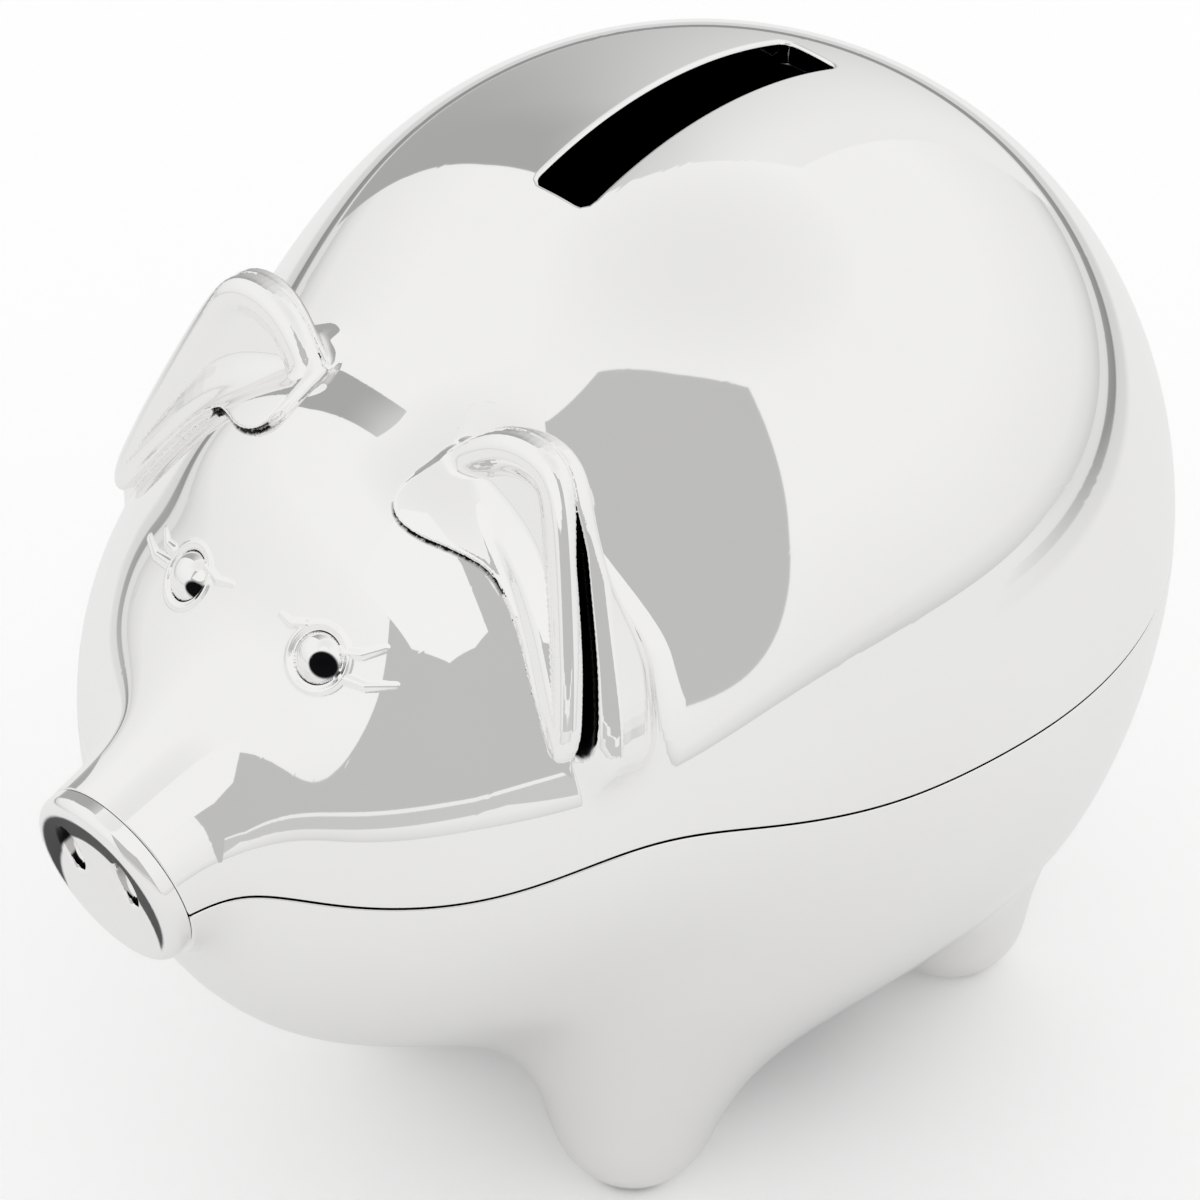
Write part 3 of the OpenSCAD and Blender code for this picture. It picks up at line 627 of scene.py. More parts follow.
def lashPiece(name):
    middle, across, up, out = eyeFrames[name]
    strokes = []
    for (x0, z0), (x1, z1) in lashes[name]:
        ends = [walkTo((x, head["y"], z), (0, -1, 0), False) for x, z in
                ((x0, z0), ((x0 + x1) / 2, (z0 + z1) / 2 - 0.35), (x1, z1))]
        normals = unit(slope(pigField, np.array(ends)))
        strokes.append(np.array(ends) - lashes["sink"] * normals)

    def detail(p):
        d = p - middle
        flat = np.hypot(d @ across, d @ up)
        best = np.hypot(flat - eye["ringRadius"], d @ out + 0.05) - eye["ringWire"]
        for path in strokes:
            for k in (0, 1):
                run = path[k + 1] - path[k]
                t = np.clip((p - path[k]) @ run / (run @ run), 0, 1)
                whole = (k + t) / 2
                r = lashes["root"] + (lashes["tip"] - lashes["root"]) * whole ** 1.5
                best = np.minimum(best, np.linalg.norm(p - path[k] - t[..., None] * run, axis=-1) - r)
        return best
    corners = np.array([q for path in strokes for q in path] + [middle - 3.6, middle + 3.6])
    return raisedPiece(detail, lashes["soft"], corners.min(0) - 1.6, corners.max(0) + 1.6, lashes["mesh"], 0.35, 0.85)


lashSkins = {name: lashPiece(name) for name in ("left", "right")}
print("lashes:", [len(skin.faces) for skin in lashSkins.values()], "faces")

# Snout plate with its two nostrils
plate = {"rim": 1.3, "dish": 0.35, "nostrilX": 3.7, "nostrilUp": 2.3, "nostrilWide": 1.3, "nostrilHigh": 2.9,
         "nostrilDeep": 2.6, "darkRadius": 7.9, "darkWide": 2.6, "spigot": 6.2, "mesh": 0.2}
plateUp = unit(np.cross(snoutWay, (1, 0, 0)))
plateUp = plateUp * np.sign(plateUp[2])


def plateField(p):
    d = p - shellEnd
    x, y, z = d[..., 0], d @ plateUp, d @ snoutWay
    r = np.hypot(x, y)
    solid = roundMax(r - snout["endRadius"], z - snout["plate"], plate["rim"])
    # The dish is a shallow bowl that meets the rounded rim softly
    bowlRadius = ((snout["endRadius"] - plate["rim"]) ** 2 + plate["dish"] ** 2) / (2 * plate["dish"])
    bowl = np.sqrt(r * r + (z - snout["plate"] - bowlRadius + plate["dish"]) ** 2) - bowlRadius
    solid = roundMax(solid, -bowl, 0.15)
    for side in (-1, 1):
        q = np.stack([x - side * plate["nostrilX"], y - plate["nostrilUp"], z - snout["plate"] + 0.5], -1)
        hole = ball(q, np.array([plate["nostrilWide"], plate["nostrilHigh"], plate["nostrilDeep"]]))
        solid = roundMax(solid, -hole, 0.35)
    return solid


def platePaintedShade(p):
    # Painted shade: dark in the nostrils and in a crescent under the upper rim
    d = p - shellEnd
    x, y, z = d[..., 0], d @ plateUp, d @ snoutWay
    r = np.hypot(x, y)
    inner = plate["darkRadius"] - plate["darkWide"] * np.clip((y + 5.0) / 6.0, 0, 1)
    crescentShade = smoothStep((r - inner) / 0.25) * smoothStep((plate["darkRadius"] - r) / 0.25) * (y > -5.0)
    nostrilShade = 0.95 - np.hypot((np.abs(x) - plate["nostrilX"]) / plate["nostrilWide"],
                            (y - plate["nostrilUp"]) / plate["nostrilHigh"])
    return np.maximum(crescentShade, smoothStep(nostrilShade / 0.15)) * (z > -1.2)


reach = snout["endRadius"] + 1.0
plateSkin = fieldSkin(plateField, shellEnd - (reach, 6, reach), shellEnd + (reach, 6, reach), plate["mesh"])
cutAway(plateSkin, lambda p: (p - shellEnd) @ snoutWay - 0.3, plateField)
plateSkin.recess = platePaintedShade(plateSkin.points)
rim = plateSkin.loops()[0]
around = plateSkin.points[rim] - shellEnd
around = unit(around - (around @ snoutWay)[:, None] * snoutWay)
backward = np.tile(-snoutWay, (len(rim), 1))
rings = [(shellEnd + around * radius + snoutWay * z, normal) for radius, z, normal in (
    (snout["endRadius"], 0.1, around), (snout["endRadius"] - 0.1, 0.0, backward), (plate["spigot"], 0.0, backward),
    (plate["spigot"], -0.05, around), (plate["spigot"], -2.5, around), (plate["spigot"] - 0.1, -2.5, backward))]
rim = layRings(plateSkin, rim, rings)
plateSkin.cap(rim, shellEnd - 2.5 * snoutWay, -snoutWay)
print("snout plate:", len(plateSkin.faces), "faces")


# Turned pieces: eye domes and the rubber foot
def lathe(profile, middle, across, up, out, segments=96):
    # profile holds (radius, height, radial part of the normal, axial part of the normal) from the foot to the tip
    angles = np.arange(segments) / segments * 2 * math.pi
    spokes = np.cos(angles)[:, None] * across + np.sin(angles)[:, None] * up
    skin = Skin(np.zeros((0, 3)), np.zeros((0, 3)), [])
    ring = None
    for radius, height, nr, na in profile:
        if radius == 0:
            if ring is None:
                foot = height
            else:
                skin.cap(ring[::-1], middle + height * out, out)
            continue
        nextRing = skin.add(middle + radius * spokes + height * out, unit(nr * spokes + na * out))
        if ring is None:
            start = nextRing
        else:
            skin.join(nextRing, ring)
        ring = nextRing
    bottom = skin.add([middle + foot * out], [-out])[0]
    n = len(start)
    skin.faces += [(start[(i + 1) % n], start[i], bottom) for i in range(n)]
    return skin


def domeProfile(radius, height, base, steps=22):
    ballRadius = (radius ** 2 + height ** 2) / (2 * height)
    top = math.asin(min(1, radius / ballRadius))
    points = []
    for k in range(steps):
        t = top * (1 - k / steps)
        rise = base + height - ballRadius * (1 - math.cos(t))
        points.append((ballRadius * math.sin(t), rise, math.sin(t), math.cos(t)))
    return points + [(0, base + height, 0, 1)]


def eyeSkin(name):
    middle, across, up, out = eyeFrames[name]
    rim = eye["socketRadius"] - 0.1
    profile = [(0, 0, 0, -1), (rim, 0, 0.7, -0.7), (rim, eye["flange"] - 0.1, 1, 0), (rim - 0.1, eye["flange"], 0, 1),
               (eye["domeRadius"] + 0.08, eye["flange"], 0, 1)]
    profile += domeProfile(eye["domeRadius"], eye["domeHeight"], eye["flange"])
    skin = lathe(profile, middle - eye["socketDepth"] * out, across, up, out)
    d = skin.points - middle
    x, z = d @ across, d @ up
    flat = np.hypot(x, z)
    towardsSnout = -x if name == "left" else x
    # Painted shade in the groove between dome and ring on the side towards the snout, and a painted dark reflection
    # spot on each dome
    inner = smoothStep((flat - eye["domeRadius"] + 0.05) / 0.1) * smoothStep((towardsSnout - 0.2) / 0.6)
    spotX, spotZ, spotSize = eye["reflectionSpots"][name]
    reflectionSpot = smoothStep((spotSize - np.hypot(x - spotX, z - spotZ)) / 0.2) * (flat < eye["domeRadius"])
    skin.recess = np.maximum(inner, reflectionSpot)
    return skin


level = (np.array([1.0, 0, 0]), np.array([0, 1.0, 0]), np.array([0, 0, 1.0]))


# Belly stopper, with a finger groove across its underside
stopper = {"flange": 1.6, "bulge": 1.8, "hollow": 3.0, "grooveLong": 6.0, "grooveHalf": 1.5, "grooveDeep": 1.0,
           "bead": 0.4, "mesh": 0.45}


def stopperField(p):
    r, z = np.hypot(p[..., 0], p[..., 1]), p[..., 2] - seatZ
    low = -stopper["flange"]
    ballRadius = (outlet["flangeRadius"] ** 2 + stopper["bulge"] ** 2) / (2 * stopper["bulge"])
    under = np.sqrt(r * r + (z - low + stopper["bulge"] - ballRadius) ** 2) - ballRadius
    flange = roundMax(roundMax(r - outlet["flangeRadius"], under, 0.6), z, 0.3)
    neck = roundMax(r - outlet["radius"] + 0.45, np.abs(z - outlet["neck"] / 2) - outlet["neck"] / 2, 0.4)
    for beadZ in (1.2, outlet["neck"] - 1.2):
        bead = np.hypot((r - outlet["radius"] + 0.45) * 1.0, (z - beadZ) * 0.7) - stopper["bead"]
        neck = blendMin(neck, bead, 0.3)
    solid = np.minimum(flange, neck)
    solid = roundMax(solid, -np.maximum(r - outlet["radius"] + stopper["hollow"], 0.8 - z), 0.3)
    gx = np.maximum(np.abs(p[..., 0]) - stopper["grooveLong"] + stopper["grooveHalf"], 0)
    floor = low - stopper["bulge"] + stopper["grooveDeep"]
    groove = np.maximum(np.hypot(gx, p[..., 1]) - stopper["grooveHalf"], z - floor)
    return roundMax(solid, -groove, 0.4)


half = outlet["flangeRadius"] + 1.0
stopperSkin = fieldSkin(stopperField, (-half, -half, seatZ - 5), (half, half, seatZ + 7), stopper["mesh"])
print("stopper:", len(stopperSkin.faces), "faces")


# Finishes
def nodeGroup(name, inputs, outputs):
    group = bpy.data.node_groups.new(name, "ShaderNodeTree")
    for label, kind, value in inputs:
        socket = group.interface.new_socket(name=label, in_out="INPUT", socket_type=kind)
        if value is not None:
            socket.default_value = value
    for label, kind in outputs:
        group.interface.new_socket(name=label, in_out="OUTPUT", socket_type=kind)
    return group, group.nodes.new("NodeGroupInput"), group.nodes.new("NodeGroupOutput")


def addNode(tree, kind, **settings):
    node = tree.nodes.new(kind)
    for key, value in settings.items():
        if key in node.inputs:
            node.inputs[key].default_value = value
        else:
            setattr(node, key, value)
    return node


def polishGroup():
    # Hairline polishing marks and faint handling haze, as a mask for roughness and a height
    scales = [("Haze Scale", "NodeSocketFloat", 30.0), ("Line Scale", "NodeSocketFloat", 900.0)]
    masks = [("Haze", "NodeSocketFloat"), ("Lines", "NodeSocketFloat")]
    group, inside, outside = nodeGroup("polishMarks", scales, masks)
    links = group.links
    place = addNode(group, "ShaderNodeTexCoord")
    haze = addNode(group, "ShaderNodeTexNoise", Detail=3.0, Roughness=0.55)
    links.new(place.outputs["Object"], haze.inputs["Vector"])
    links.new(inside.outputs["Haze Scale"], haze.inputs["Scale"])
    stretch = addNode(group, "ShaderNodeMapping")
    stretch.inputs["Scale"].default_value = (1.0, 0.04, 0.3)
    stretch.inputs["Rotation"].default_value = (0.3, 0.7, 0.5)
    links.new(place.outputs["Object"], stretch.inputs["Vector"])
    lines = addNode(group, "ShaderNodeTexNoise", Detail=2.0, Roughness=0.6)
    links.new(stretch.outputs["Vector"], lines.inputs["Vector"])
    links.new(inside.outputs["Line Scale"], lines.inputs["Scale"])
    ramp = addNode(group, "ShaderNodeMapRange")
    for key, value in (("From Min", 0.62), ("From Max", 0.8), ("To Min", 0.0), ("To Max", 1.0)):
        ramp.inputs[key].default_value = value
    links.new(lines.outputs[0], ramp.inputs["Value"])
    links.new(haze.outputs[0], outside.inputs["Haze"])
    links.new(ramp.outputs["Result"], outside.inputs["Lines"])
    return group


def mapRange(tree, source, low, high):
    node = addNode(tree, "ShaderNodeMapRange")
    node.inputs["From Min"].default_value, node.inputs["From Max"].default_value = 0.3, 0.7
    node.inputs["To Min"].default_value, node.inputs["To Max"].default_value = low, high
    tree.links.new(source, node.inputs["Value"])
    return node.outputs["Result"]


def mixColour(tree, factor, low, high):
    # low and high are a colour or another node's output
    node = addNode(tree, "ShaderNodeMix", data_type="RGBA")
    tree.links.new(factor, node.inputs[0])
    for socket, value in zip([s for s in node.inputs if s.type == "RGBA"], (low, high)):
        if hasattr(value, "is_output"):
            tree.links.new(value, socket)
        else:
            socket.default_value = (*value, 1)
    return [s for s in node.outputs if s.type == "RGBA"][0]


def newFinish(name):
    finish = bpy.data.materials.new(name)
    finish.use_nodes = True
    return finish, finish.node_tree, finish.node_tree.nodes["Principled BSDF"]


polish = polishGroup()


def metalFinish(name, colour, tint, rough, roughMore, hazeScale, lineScale, bumpDepth):
    finish, tree, shader = newFinish(name)
    shader.inputs["Metallic"].default_value = 1.0
    marks = addNode(tree, "ShaderNodeGroup", node_tree=polish)
    marks.inputs["Haze Scale"].default_value = hazeScale
    marks.inputs["Line Scale"].default_value = lineScale
    clean = mixColour(tree, mapRange(tree, marks.outputs["Haze"], 0.0, 1.0), colour, tint)
    # The recess mask paints shade and dark reflections: there the silver turns near black and duller
    recess = addNode(tree, "ShaderNodeAttribute", attribute_name="recess").outputs["Fac"]
    tree.links.new(mixColour(tree, recess, clean, (0.006, 0.006, 0.007)), shader.inputs["Base Color"])
    # Roughness from the handling haze, raised where the painted shade mask is set
    hazeAndShadeRoughness = addNode(tree, "ShaderNodeMath", operation="MULTIPLY_ADD")
    hazeAndShadeRoughness.inputs[1].default_value = 0.35
    tree.links.new(recess, hazeAndShadeRoughness.inputs[0])
    tree.links.new(mapRange(tree, marks.outputs["Haze"], rough, roughMore), hazeAndShadeRoughness.inputs[2])
    tree.links.new(hazeAndShadeRoughness.outputs[0], shader.inputs["Roughness"])
    bump = addNode(tree, "ShaderNodeBump", Strength=0.15, Distance=bumpDepth)
    tree.links.new(marks.outputs["Lines"], bump.inputs["Height"])
    tree.links.new(bump.outputs["Normal"], shader.inputs["Normal"])
    return finish


silver = metalFinish("silver_plate", (0.955, 0.95, 0.945), (0.93, 0.925, 0.915), 0.018, 0.045, 24.0, 700.0, 0.00002)
steel = metalFinish("steel", (0.62, 0.62, 0.63), (0.5, 0.5, 0.5), 0.25, 0.4, 300.0, 2500.0, 0.00005)


def rubberFinish():
    finish, tree, shader = newFinish("black_rubber")
    place = addNode(tree, "ShaderNodeTexCoord")
    grain = addNode(tree, "ShaderNodeTexNoise", Scale=1400.0, Detail=2.0)
    cloud = addNode(tree, "ShaderNodeTexNoise", Scale=90.0, Detail=3.0)
    for texture in (grain, cloud):
        tree.links.new(place.outputs["Object"], texture.inputs["Vector"])
    cloudy = mapRange(tree, cloud.outputs[0], 0.0, 1.0)
    tree.links.new(mixColour(tree, cloudy, (0.012, 0.012, 0.013), (0.032, 0.032, 0.034)), shader.inputs["Base Color"])
    tree.links.new(mapRange(tree, cloud.outputs[0], 0.5, 0.68), shader.inputs["Roughness"])
    bump = addNode(tree, "ShaderNodeBump", Strength=0.3, Distance=0.00006)
    tree.links.new(grain.outputs[0], bump.inputs["Height"])
    tree.links.new(bump.outputs["Normal"], shader.inputs["Normal"])
    return finish


rubber = rubberFinish()


# Tail and rubber feet come from Geometry Nodes
def applyTree(name, tree, base, values):
    piece = bpy.data.objects.new(name, base)
    bpy.context.scene.collection.objects.link(piece)
    modifier = piece.modifiers.new(name, "NODES")
    modifier.node_group = tree
    for item in tree.interface.items_tree:
        if item.item_type == "SOCKET" and item.in_out == "INPUT" and item.name in values:
            modifier[item.identifier] = values[item.name]
    bpy.context.view_layer.update()
    evaluated = piece.evaluated_get(bpy.context.evaluated_depsgraph_get())
    mesh = bpy.data.meshes.new_from_object(evaluated)
    mesh.name = name
    piece.modifiers.remove(modifier)
    piece.data = mesh
    return piece


def geometryTree(name, inputs):
    tree = bpy.data.node_groups.new(name, "GeometryNodeTree")
    tree.interface.new_socket(name="Geometry", in_out="INPUT", socket_type="NodeSocketGeometry")
    for label, kind, value in inputs:
        socket = tree.interface.new_socket(name=label, in_out="INPUT", socket_type=kind)
        if value is not None:
            socket.default_value = value
    tree.interface.new_socket(name="Geometry", in_out="OUTPUT", socket_type="NodeSocketGeometry")
    return tree, tree.nodes.new("NodeGroupInput"), tree.nodes.new("NodeGroupOutput")


def finishTree(tree, geometry, inside, outside):
    real = addNode(tree, "GeometryNodeRealizeInstances")
    paint = addNode(tree, "GeometryNodeSetMaterial")
    tree.links.new(geometry, real.inputs[0])
    tree.links.new(real.outputs[0], paint.inputs["Geometry"])
    tree.links.new(inside.outputs["Finish"], paint.inputs["Material"])
    tree.links.new(paint.outputs[0], outside.inputs[0])


tail = {"z": 68.0, "hubShare": 0.72, "rootRadius": 1.7, "tipRadius": 0.8, "curlRadius": 4.2, "turns": 1.25,
        "peg": 1.2, "rootShare": 0.15, "drawIn": 0.35, "rise": 1.6}


def tailTree():
    names = [("Root Radius", tail["rootRadius"]), ("Tip Radius", tail["tipRadius"]), ("Curl Radius", tail["curlRadius"]),
             ("Turns", tail["turns"]), ("Peg", tail["peg"]), ("Root Share", tail["rootShare"]),
             ("Draw In", tail["drawIn"]), ("Rise", tail["rise"])]
    tree, inside, outside = geometryTree("curlyTail", [(n, "NodeSocketFloat", v) for n, v in names]
                                         + [("Finish", "NodeSocketMaterial", None)])

    def calc(operation, a, b=0.0, c=0.0):
        node = addNode(tree, "ShaderNodeMath", operation=operation)
        for socket, value in zip(node.inputs, (a, b, c)):
            if hasattr(value, "is_output"):
                tree.links.new(value, socket)
            else:
                socket.default_value = value
        return node.outputs[0]
    get = inside.outputs
    line = addNode(tree, "GeometryNodeCurvePrimitiveLine")
    fine = addNode(tree, "GeometryNodeResampleCurve")
    fine.inputs["Count"].default_value = 130
    tree.links.new(line.outputs[0], fine.inputs["Curve"])
    t = addNode(tree, "GeometryNodeSplineParameter").outputs["Factor"]
    share = calc("DIVIDE", calc("MAXIMUM", calc("SUBTRACT", t, get["Root Share"]), 0.0),
                  calc("SUBTRACT", 1.0, get["Root Share"]))
    r = calc("MULTIPLY", get["Curl Radius"], calc("SUBTRACT", 1.0, calc("MULTIPLY", get["Draw In"], share)))
    turn = calc("MULTIPLY", calc("MULTIPLY", get["Turns"], 2 * math.pi), share)
    rootLength = calc("ADD", calc("ADD", get["Peg"], get["Root Radius"]), 0.6)
    rootPart = calc("MULTIPLY", rootLength, calc("MINIMUM", calc("DIVIDE", t, get["Root Share"]), 1.0))
    curlRise = calc("MULTIPLY", get["Rise"], calc("MINIMUM", calc("MULTIPLY", share, 5.0), 1.0))
    out = calc("ADD", calc("SUBTRACT", rootPart, get["Peg"]), curlRise)
    place = addNode(tree, "ShaderNodeCombineXYZ")
    tree.links.new(calc("MULTIPLY", r, calc("SINE", turn)), place.inputs[0])
    tree.links.new(calc("SUBTRACT", get["Curl Radius"], calc("MULTIPLY", r, calc("COSINE", turn))), place.inputs[1])
    tree.links.new(out, place.inputs[2])
    bend = addNode(tree, "GeometryNodeSetPosition")
    tree.links.new(fine.outputs[0], bend.inputs["Geometry"])
    tree.links.new(place.outputs[0], bend.inputs["Position"])
    # The wire thins towards its tip and ends round
    thinner = calc("MULTIPLY", calc("SUBTRACT", get["Tip Radius"], get["Root Radius"]), t)
    wire = calc("ADD", get["Root Radius"], thinner)
    endRound = calc("MINIMUM", calc("SQRT", calc("MULTIPLY", calc("SUBTRACT", 1.0, t), 32.0)), 1.0)
    wire = calc("MAXIMUM", calc("MULTIPLY", wire, endRound), 0.02)
    circle = addNode(tree, "GeometryNodeCurvePrimitiveCircle", Resolution=28)
    circle.inputs["Radius"].default_value = 1.0
    sweep = addNode(tree, "GeometryNodeCurveToMesh")
    sweep.inputs["Fill Caps"].default_value = True
    if "Scale" in sweep.inputs:
        tree.links.new(bend.outputs[0], sweep.inputs["Curve"])
        tree.links.new(wire, sweep.inputs["Scale"])
    else:
        size = addNode(tree, "GeometryNodeSetCurveRadius")
        tree.links.new(bend.outputs[0], size.inputs["Curve"])
        tree.links.new(wire, size.inputs["Radius"])
        tree.links.new(size.outputs[0], sweep.inputs["Curve"])
    tree.links.new(circle.outputs[0], sweep.inputs["Profile Curve"])
    smooth = addNode(tree, "GeometryNodeSetShadeSmooth")
    tree.links.new(sweep.outputs[0], smooth.inputs[0])
    finishTree(tree, smooth.outputs[0], inside, outside)
    return tree


def makeTail():
    piece = applyTree("tail_curl", tailTree(), bpy.data.meshes.new("tailStart"), {"Finish": silver})
    start = walkTo((0, trunk["halfLength"] * tail["hubShare"], tail["z"]), (0, 1, 0), False)
    out = unit(slope(pigField, start[None]))[0]
    down = np.array([0, out[2], -out[1]])
    co = np.array([v.co for v in piece.data.vertices], float)
    co = start + co[:, :1] * down + co[:, 1:2] * (-1, 0, 0) + co[:, 2:] * out
    piece.data.vertices.foreach_set("co", ((co + (0, bodyShift, 0)) / 1000).ravel())
    piece.data.update()
    return piece


def footPrototype():
    sphere, low = legs["footRadius"], legs["footRadius"] - rubberFoot["proud"]
    flat = math.sqrt(sphere ** 2 - low ** 2)
    top = math.asin((rubberFoot["radius"] - 0.25) / sphere)
    first = math.asin(flat / sphere)
    profile = [(0, 0, 0, -1), (flat * 0.96, 0, 0, -1)]
    for k in range(8):
        t = first + (top - first) * k / 7
        profile.append((sphere * math.sin(t), low - sphere * math.cos(t), math.sin(t), -math.cos(t)))
    edgeZ = low - sphere * math.cos(top) + 0.28
    r, h = rubberFoot["radius"], rubberFoot["length"]
    profile += [(r, edgeZ, 1, 0), (r, h - 0.3, 1, 0), (r - 0.3, h, 0, 1), (0, h, 0, 1)]
    skin = lathe(profile, np.zeros(3), *level, 48)
    skin.points = skin.points - (0, bodyShift, 0)
    return makeObject(skin, "rubber_foot_one", rubber)


def feetTree():
    inputs = [("Foot", "NodeSocketObject", None), ("Size", "NodeSocketFloat", 1.0),
              ("Finish", "NodeSocketMaterial", None)]
    tree, inside, outside = geometryTree("feetOnLegs", inputs)
    points = addNode(tree, "GeometryNodeMeshToPoints")
    shape = addNode(tree, "GeometryNodeObjectInfo")
    spread = addNode(tree, "GeometryNodeInstanceOnPoints")
    tree.links.new(inside.outputs["Geometry"], points.inputs["Mesh"])
    tree.links.new(inside.outputs["Foot"], shape.inputs["Object"])
    tree.links.new(points.outputs[0], spread.inputs["Points"])
    tree.links.new(shape.outputs["Geometry"], spread.inputs["Instance"])
    tree.links.new(inside.outputs["Size"], spread.inputs["Scale"])
    finishTree(tree, spread.outputs[0], inside, outside)
    return tree


def makeFeet():
    one = footPrototype()
    spots = bpy.data.meshes.new("footSpots")
    spots.from_pydata([((x / 1000), (y + bodyShift) / 1000, 0) for x, y, _ in footPlaces], [], [])
    piece = applyTree("rubber_feet", feetTree(), spots, {"Foot": one, "Finish": rubber})
    bpy.data.objects.remove(one)
    return piece


# Each piece goes on its body and takes its CAD node's place
def putOn(piece, body, finishSlot, *nodes):
    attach(piece, body)
    if nodes:
        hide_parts(*nodes)


putOn(makeObject(upper, "upper_shell_cast", silver), "pig", "silver_plate", "upper_shell")
putOn(makeObject(lower, "lower_shell_cast", silver), "pig", "silver_plate", "lower_shell")
putOn(makeObject(earLeft, "ear_left_cast", silver), "pig", "silver_plate", "ear_left")
putOn(makeObject(mirrored(earLeft), "ear_right_cast", silver), "pig", "silver_plate", "ear_right")
putOn(makeObject(plateSkin, "snout_plate_cast", silver), "pig", "silver_plate", "snout_plate")
for name in ("left", "right"):
    putOn(makeObject(eyeSkin(name), "eye_" + name + "_dome", silver), "pig", "silver_plate", "eye_" + name)
    putOn(makeObject(lashSkins[name], "lashes_" + name, silver), "pig", "silver_plate")
putOn(makeTail(), "pig", "silver_plate", "tail")
putOn(makeObject(stopperSkin, "belly_stopper_plug", rubber), "stopper", "black_rubber", "belly_stopper")
putOn(makeFeet(), "pig", "black_rubber", "rubber_foot_front_left", "rubber_foot_front_right",
      "rubber_foot_rear_left", "rubber_foot_rear_right")
for name in ("front_left", "front_right", "rear_left", "rear_right"):
    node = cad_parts["screw_" + name]
    node.data.materials.clear()
    node.data.materials.append(steel)
print("pieces placed")


# Studio: floor, white tent, grey panels and the camera
studio = {"floorSize": 3.0, "tent": 0.98, "panelRange": 1.2, "centre": (0.0, 0.0, 0.07)}
# Corners of each panel as seen from the pig: azimuth from the front towards its left side, and elevation
panels = {
    "side": (0.54, [(4, 61), (36, 62), (66, 57), (74, 28), (79, 5), (79, -4), (76, -4), (68, 14), (45, 11), (6, 8)]),
    "side_foot": (0.60, [(6, 6.5), (45, 9.5), (67, 12.5), (79, 3.5), (73, 2.5), (64, 7.5), (45, 4.5), (6, 1.5)]),
    "back": (0.50, [(-165, 55), (-130, 62), (-90, 61), (-97, 30), (-103, -4), (-166, -4)]),
}
# The back panel fades along X: where it starts and ends, and its brightness there
backFade = (-0.85, -0.25, 0.82, 1.75)
# A white card close to the forehead, its corners as seen from the forehead
browCard = {"middle": (12.0, -55.0, 72.0), "range": 60.0, "strength": 0.93,
            "corners": [(-12, 34), (20, 31), (42, 33), (60, 38), (72, 42), (76, 64), (50, 84), (-20, 78)]}


def direction(azimuth, elevation):
    a, e = math.radians(azimuth), math.radians(elevation)
    return np.array([math.sin(a) * math.cos(e), -math.cos(a) * math.cos(e), math.sin(e)])


def glowFinish(name, strength, fadeTo):
    finish, tree, shader = newFinish(name)
    glow = addNode(tree, "ShaderNodeEmission")
    glow.inputs["Color"].default_value = (1, 1, 1, 1)
    if fadeTo:
        # Brighter towards the middle of the room
        place = addNode(tree, "ShaderNodeTexCoord")
        across = addNode(tree, "ShaderNodeSeparateXYZ")
        fade = addNode(tree, "ShaderNodeMapRange", interpolation_type="SMOOTHSTEP")
        for key, value in zip(("From Min", "From Max", "To Min", "To Max"), fadeTo):
            fade.inputs[key].default_value = value
        tree.links.new(place.outputs["Object"], across.inputs[0])
        tree.links.new(across.outputs["X"], fade.inputs["Value"])
        tree.links.new(fade.outputs[0], glow.inputs["Color"])
    glow.inputs["Strength"].default_value = strength
    tree.links.new(glow.outputs[0], tree.nodes["Material Output"].inputs["Surface"])
    return finish


def makePanel(name, strength, corners, centre, reach, fadeTo=None):
    mesh = bpy.data.meshes.new("panel_" + name)
    # A corner below the horizon lies on the floor
    ring = [np.array(centre) + min(reach, (centre[2] - 0.001) / max(-direction(a, e)[2], 0.001)) * direction(a, e)
            for a, e in corners]
    middle = np.mean(ring, 0)
    mesh.from_pydata([list(p) for p in ring] + [list(middle)], [],
                     [(k, (k + 1) % len(ring), len(ring)) for k in range(len(ring))])
    mesh.materials.append(glowFinish("panel_" + name, strength, fadeTo))
    panel = bpy.data.objects.new("panel_" + name, mesh)
    bpy.context.scene.collection.objects.link(panel)
    panel.visible_camera = panel.visible_diffuse = panel.visible_shadow = False


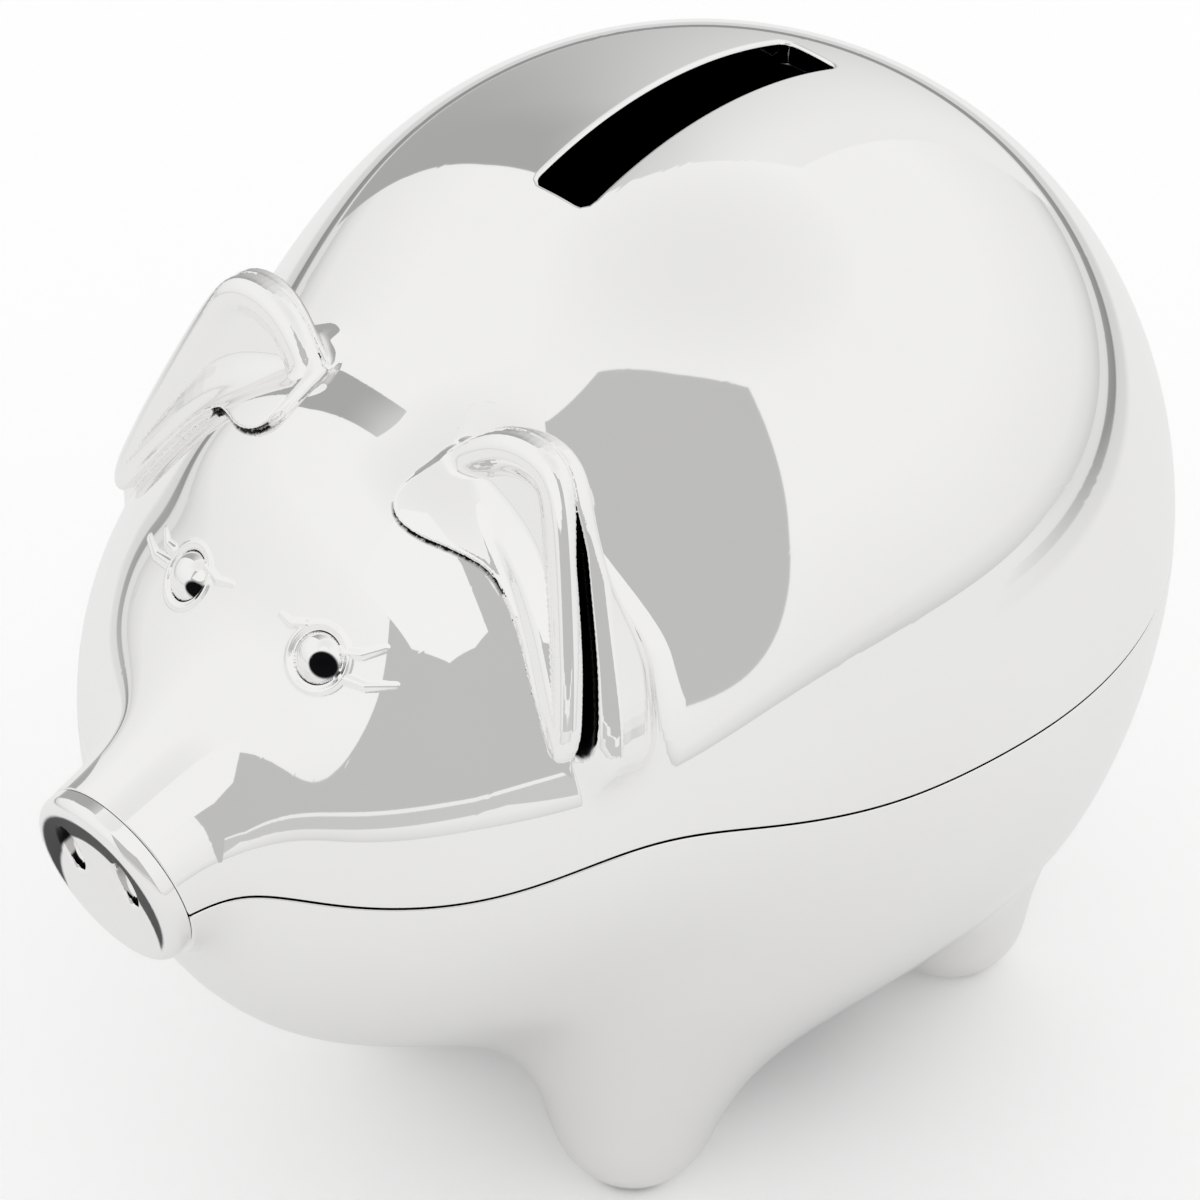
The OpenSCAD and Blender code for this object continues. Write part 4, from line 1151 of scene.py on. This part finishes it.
def makeFloor():
    size = studio["floorSize"] / 2
    mesh = bpy.data.meshes.new("floor")
    mesh.from_pydata([(-size, -size, 0), (size, -size, 0), (size, size, 0), (-size, size, 0)], [], [(0, 1, 2, 3)])
    finish, tree, shader = newFinish("pale_floor")
    place = addNode(tree, "ShaderNodeTexCoord")
    away = addNode(tree, "ShaderNodeVectorMath", operation="LENGTH")
    tree.links.new(place.outputs["Object"], away.inputs[0])
    # White paper out to the table edge, a dark ring of painted shade for the gap behind it and a grey floor beyond;
    # the ring shows only in reflections, seen directly the floor is plain white
    ramp = addNode(tree, "ShaderNodeValToRGB")
    fillRamp(ramp, [(0.0, 0.84), (0.36, 0.82), (0.42, 0.62), (0.56, 0.60),
                    (0.585, 0.16), (0.80, 0.22), (0.84, 0.66), (1.0, 0.7)])
    tree.links.new(away.outputs["Value"], ramp.inputs[0])
    behind = addNode(tree, "ShaderNodeVectorMath", operation="DOT_PRODUCT")
    behind.inputs[1].default_value = (-0.6, 0.8, 0.0)
    tree.links.new(place.outputs["Object"], behind.inputs[0])
    fade = addNode(tree, "ShaderNodeMapRange")
    for key, value in (("From Min", -0.1), ("From Max", 0.4)):
        fade.inputs[key].default_value = value
    tree.links.new(behind.outputs["Value"], fade.inputs["Value"])
    reflected = mixColour(tree, fade.outputs[0], (0.80, 0.80, 0.80), ramp.outputs[0])
    direct = addNode(tree, "ShaderNodeLightPath").outputs["Is Camera Ray"]
    tree.links.new(mixColour(tree, direct, reflected, (0.97, 0.97, 0.97)), shader.inputs["Base Color"])
    shader.inputs["Roughness"].default_value = 0.9
    shader.inputs["Specular IOR Level"].default_value = 0.1
    shader.inputs["Emission Color"].default_value = (1, 1, 1, 1)
    shader.inputs["Emission Strength"].default_value = 0.12
    mesh.materials.append(finish)
    floor = bpy.data.objects.new("floor", mesh)
    bpy.context.scene.collection.objects.link(floor)
    floor.location.z = -0.00005


def fillRamp(ramp, stops):
    elements = ramp.color_ramp.elements
    while len(elements) < len(stops):
        elements.new(0.5)
    for element, (at, value) in zip(elements, stops):
        element.position = at
        element.color = (value, value, value, 1)


def makeWorld():
    world = bpy.data.worlds.new("white_tent")
    bpy.context.scene.world = world
    world.use_nodes = True
    tree = world.node_tree
    back = tree.nodes["Background"]
    place = addNode(tree, "ShaderNodeTexCoord")
    split = addNode(tree, "ShaderNodeSeparateXYZ")
    tree.links.new(place.outputs["Generated"], split.inputs[0])
    ramp = addNode(tree, "ShaderNodeValToRGB")
    stops = [(0.0, 0.80), (0.44, 0.82), (0.47, 0.62), (0.495, 0.78),
             (0.53, 0.87), (0.75, 0.94), (0.92, 0.94), (1.0, 0.86)]
    height = addNode(tree, "ShaderNodeMapRange")
    for key, value in (("From Min", -1.0), ("From Max", 1.0)):
        height.inputs[key].default_value = value
    tree.links.new(split.outputs["Z"], height.inputs["Value"])
    fillRamp(ramp, stops)
    tree.links.new(height.outputs[0], ramp.inputs[0])
    tree.links.new(ramp.outputs[0], back.inputs["Color"])
    back.inputs["Strength"].default_value = studio["tent"]


view = {"azimuth": 45.446, "elevation": 34.497, "roll": 1.058, "distance": 579.61, "lens": 183.959,
        "look": (0.0, -15.75, 50.4), "right": 2.118, "up": 3.842}


def makeCamera():
    back = direction(view["azimuth"], view["elevation"])
    a, roll = math.radians(view["azimuth"]), math.radians(view["roll"])
    right = np.array([math.cos(a), math.sin(a), 0])
    up = np.cross(back, right)
    across, above = right * math.cos(roll) + up * math.sin(roll), up * math.cos(roll) - right * math.sin(roll)
    spot = np.array(view["look"]) + view["right"] * across + view["up"] * above + view["distance"] * back
    spot = (spot + (0, bodyShift, 0)) / 1000
    data = bpy.data.cameras.new("camera")
    data.lens, data.sensor_width = view["lens"], 36.0
    data.clip_start, data.clip_end = 0.01, 20.0
    camera = bpy.data.objects.new("camera", data)
    bpy.context.scene.collection.objects.link(camera)
    matrix = np.eye(4)
    matrix[:3, 0], matrix[:3, 1], matrix[:3, 2], matrix[:3, 3] = across, above, back, spot
    camera.matrix_world = Matrix(matrix.tolist())
    bpy.context.scene.camera = camera


for name, (strength, corners) in panels.items():
    makePanel(name, strength, corners, studio["centre"], studio["panelRange"], backFade if name == "back" else None)
browMiddle = (np.array(browCard["middle"]) + (0, bodyShift, 0)) / 1000
makePanel("brow", browCard["strength"], browCard["corners"], browMiddle, browCard["range"] / 1000)
makeFloor()
makeWorld()
makeCamera()
bpy.context.scene.view_settings.view_transform = "Standard"
print("studio ready")
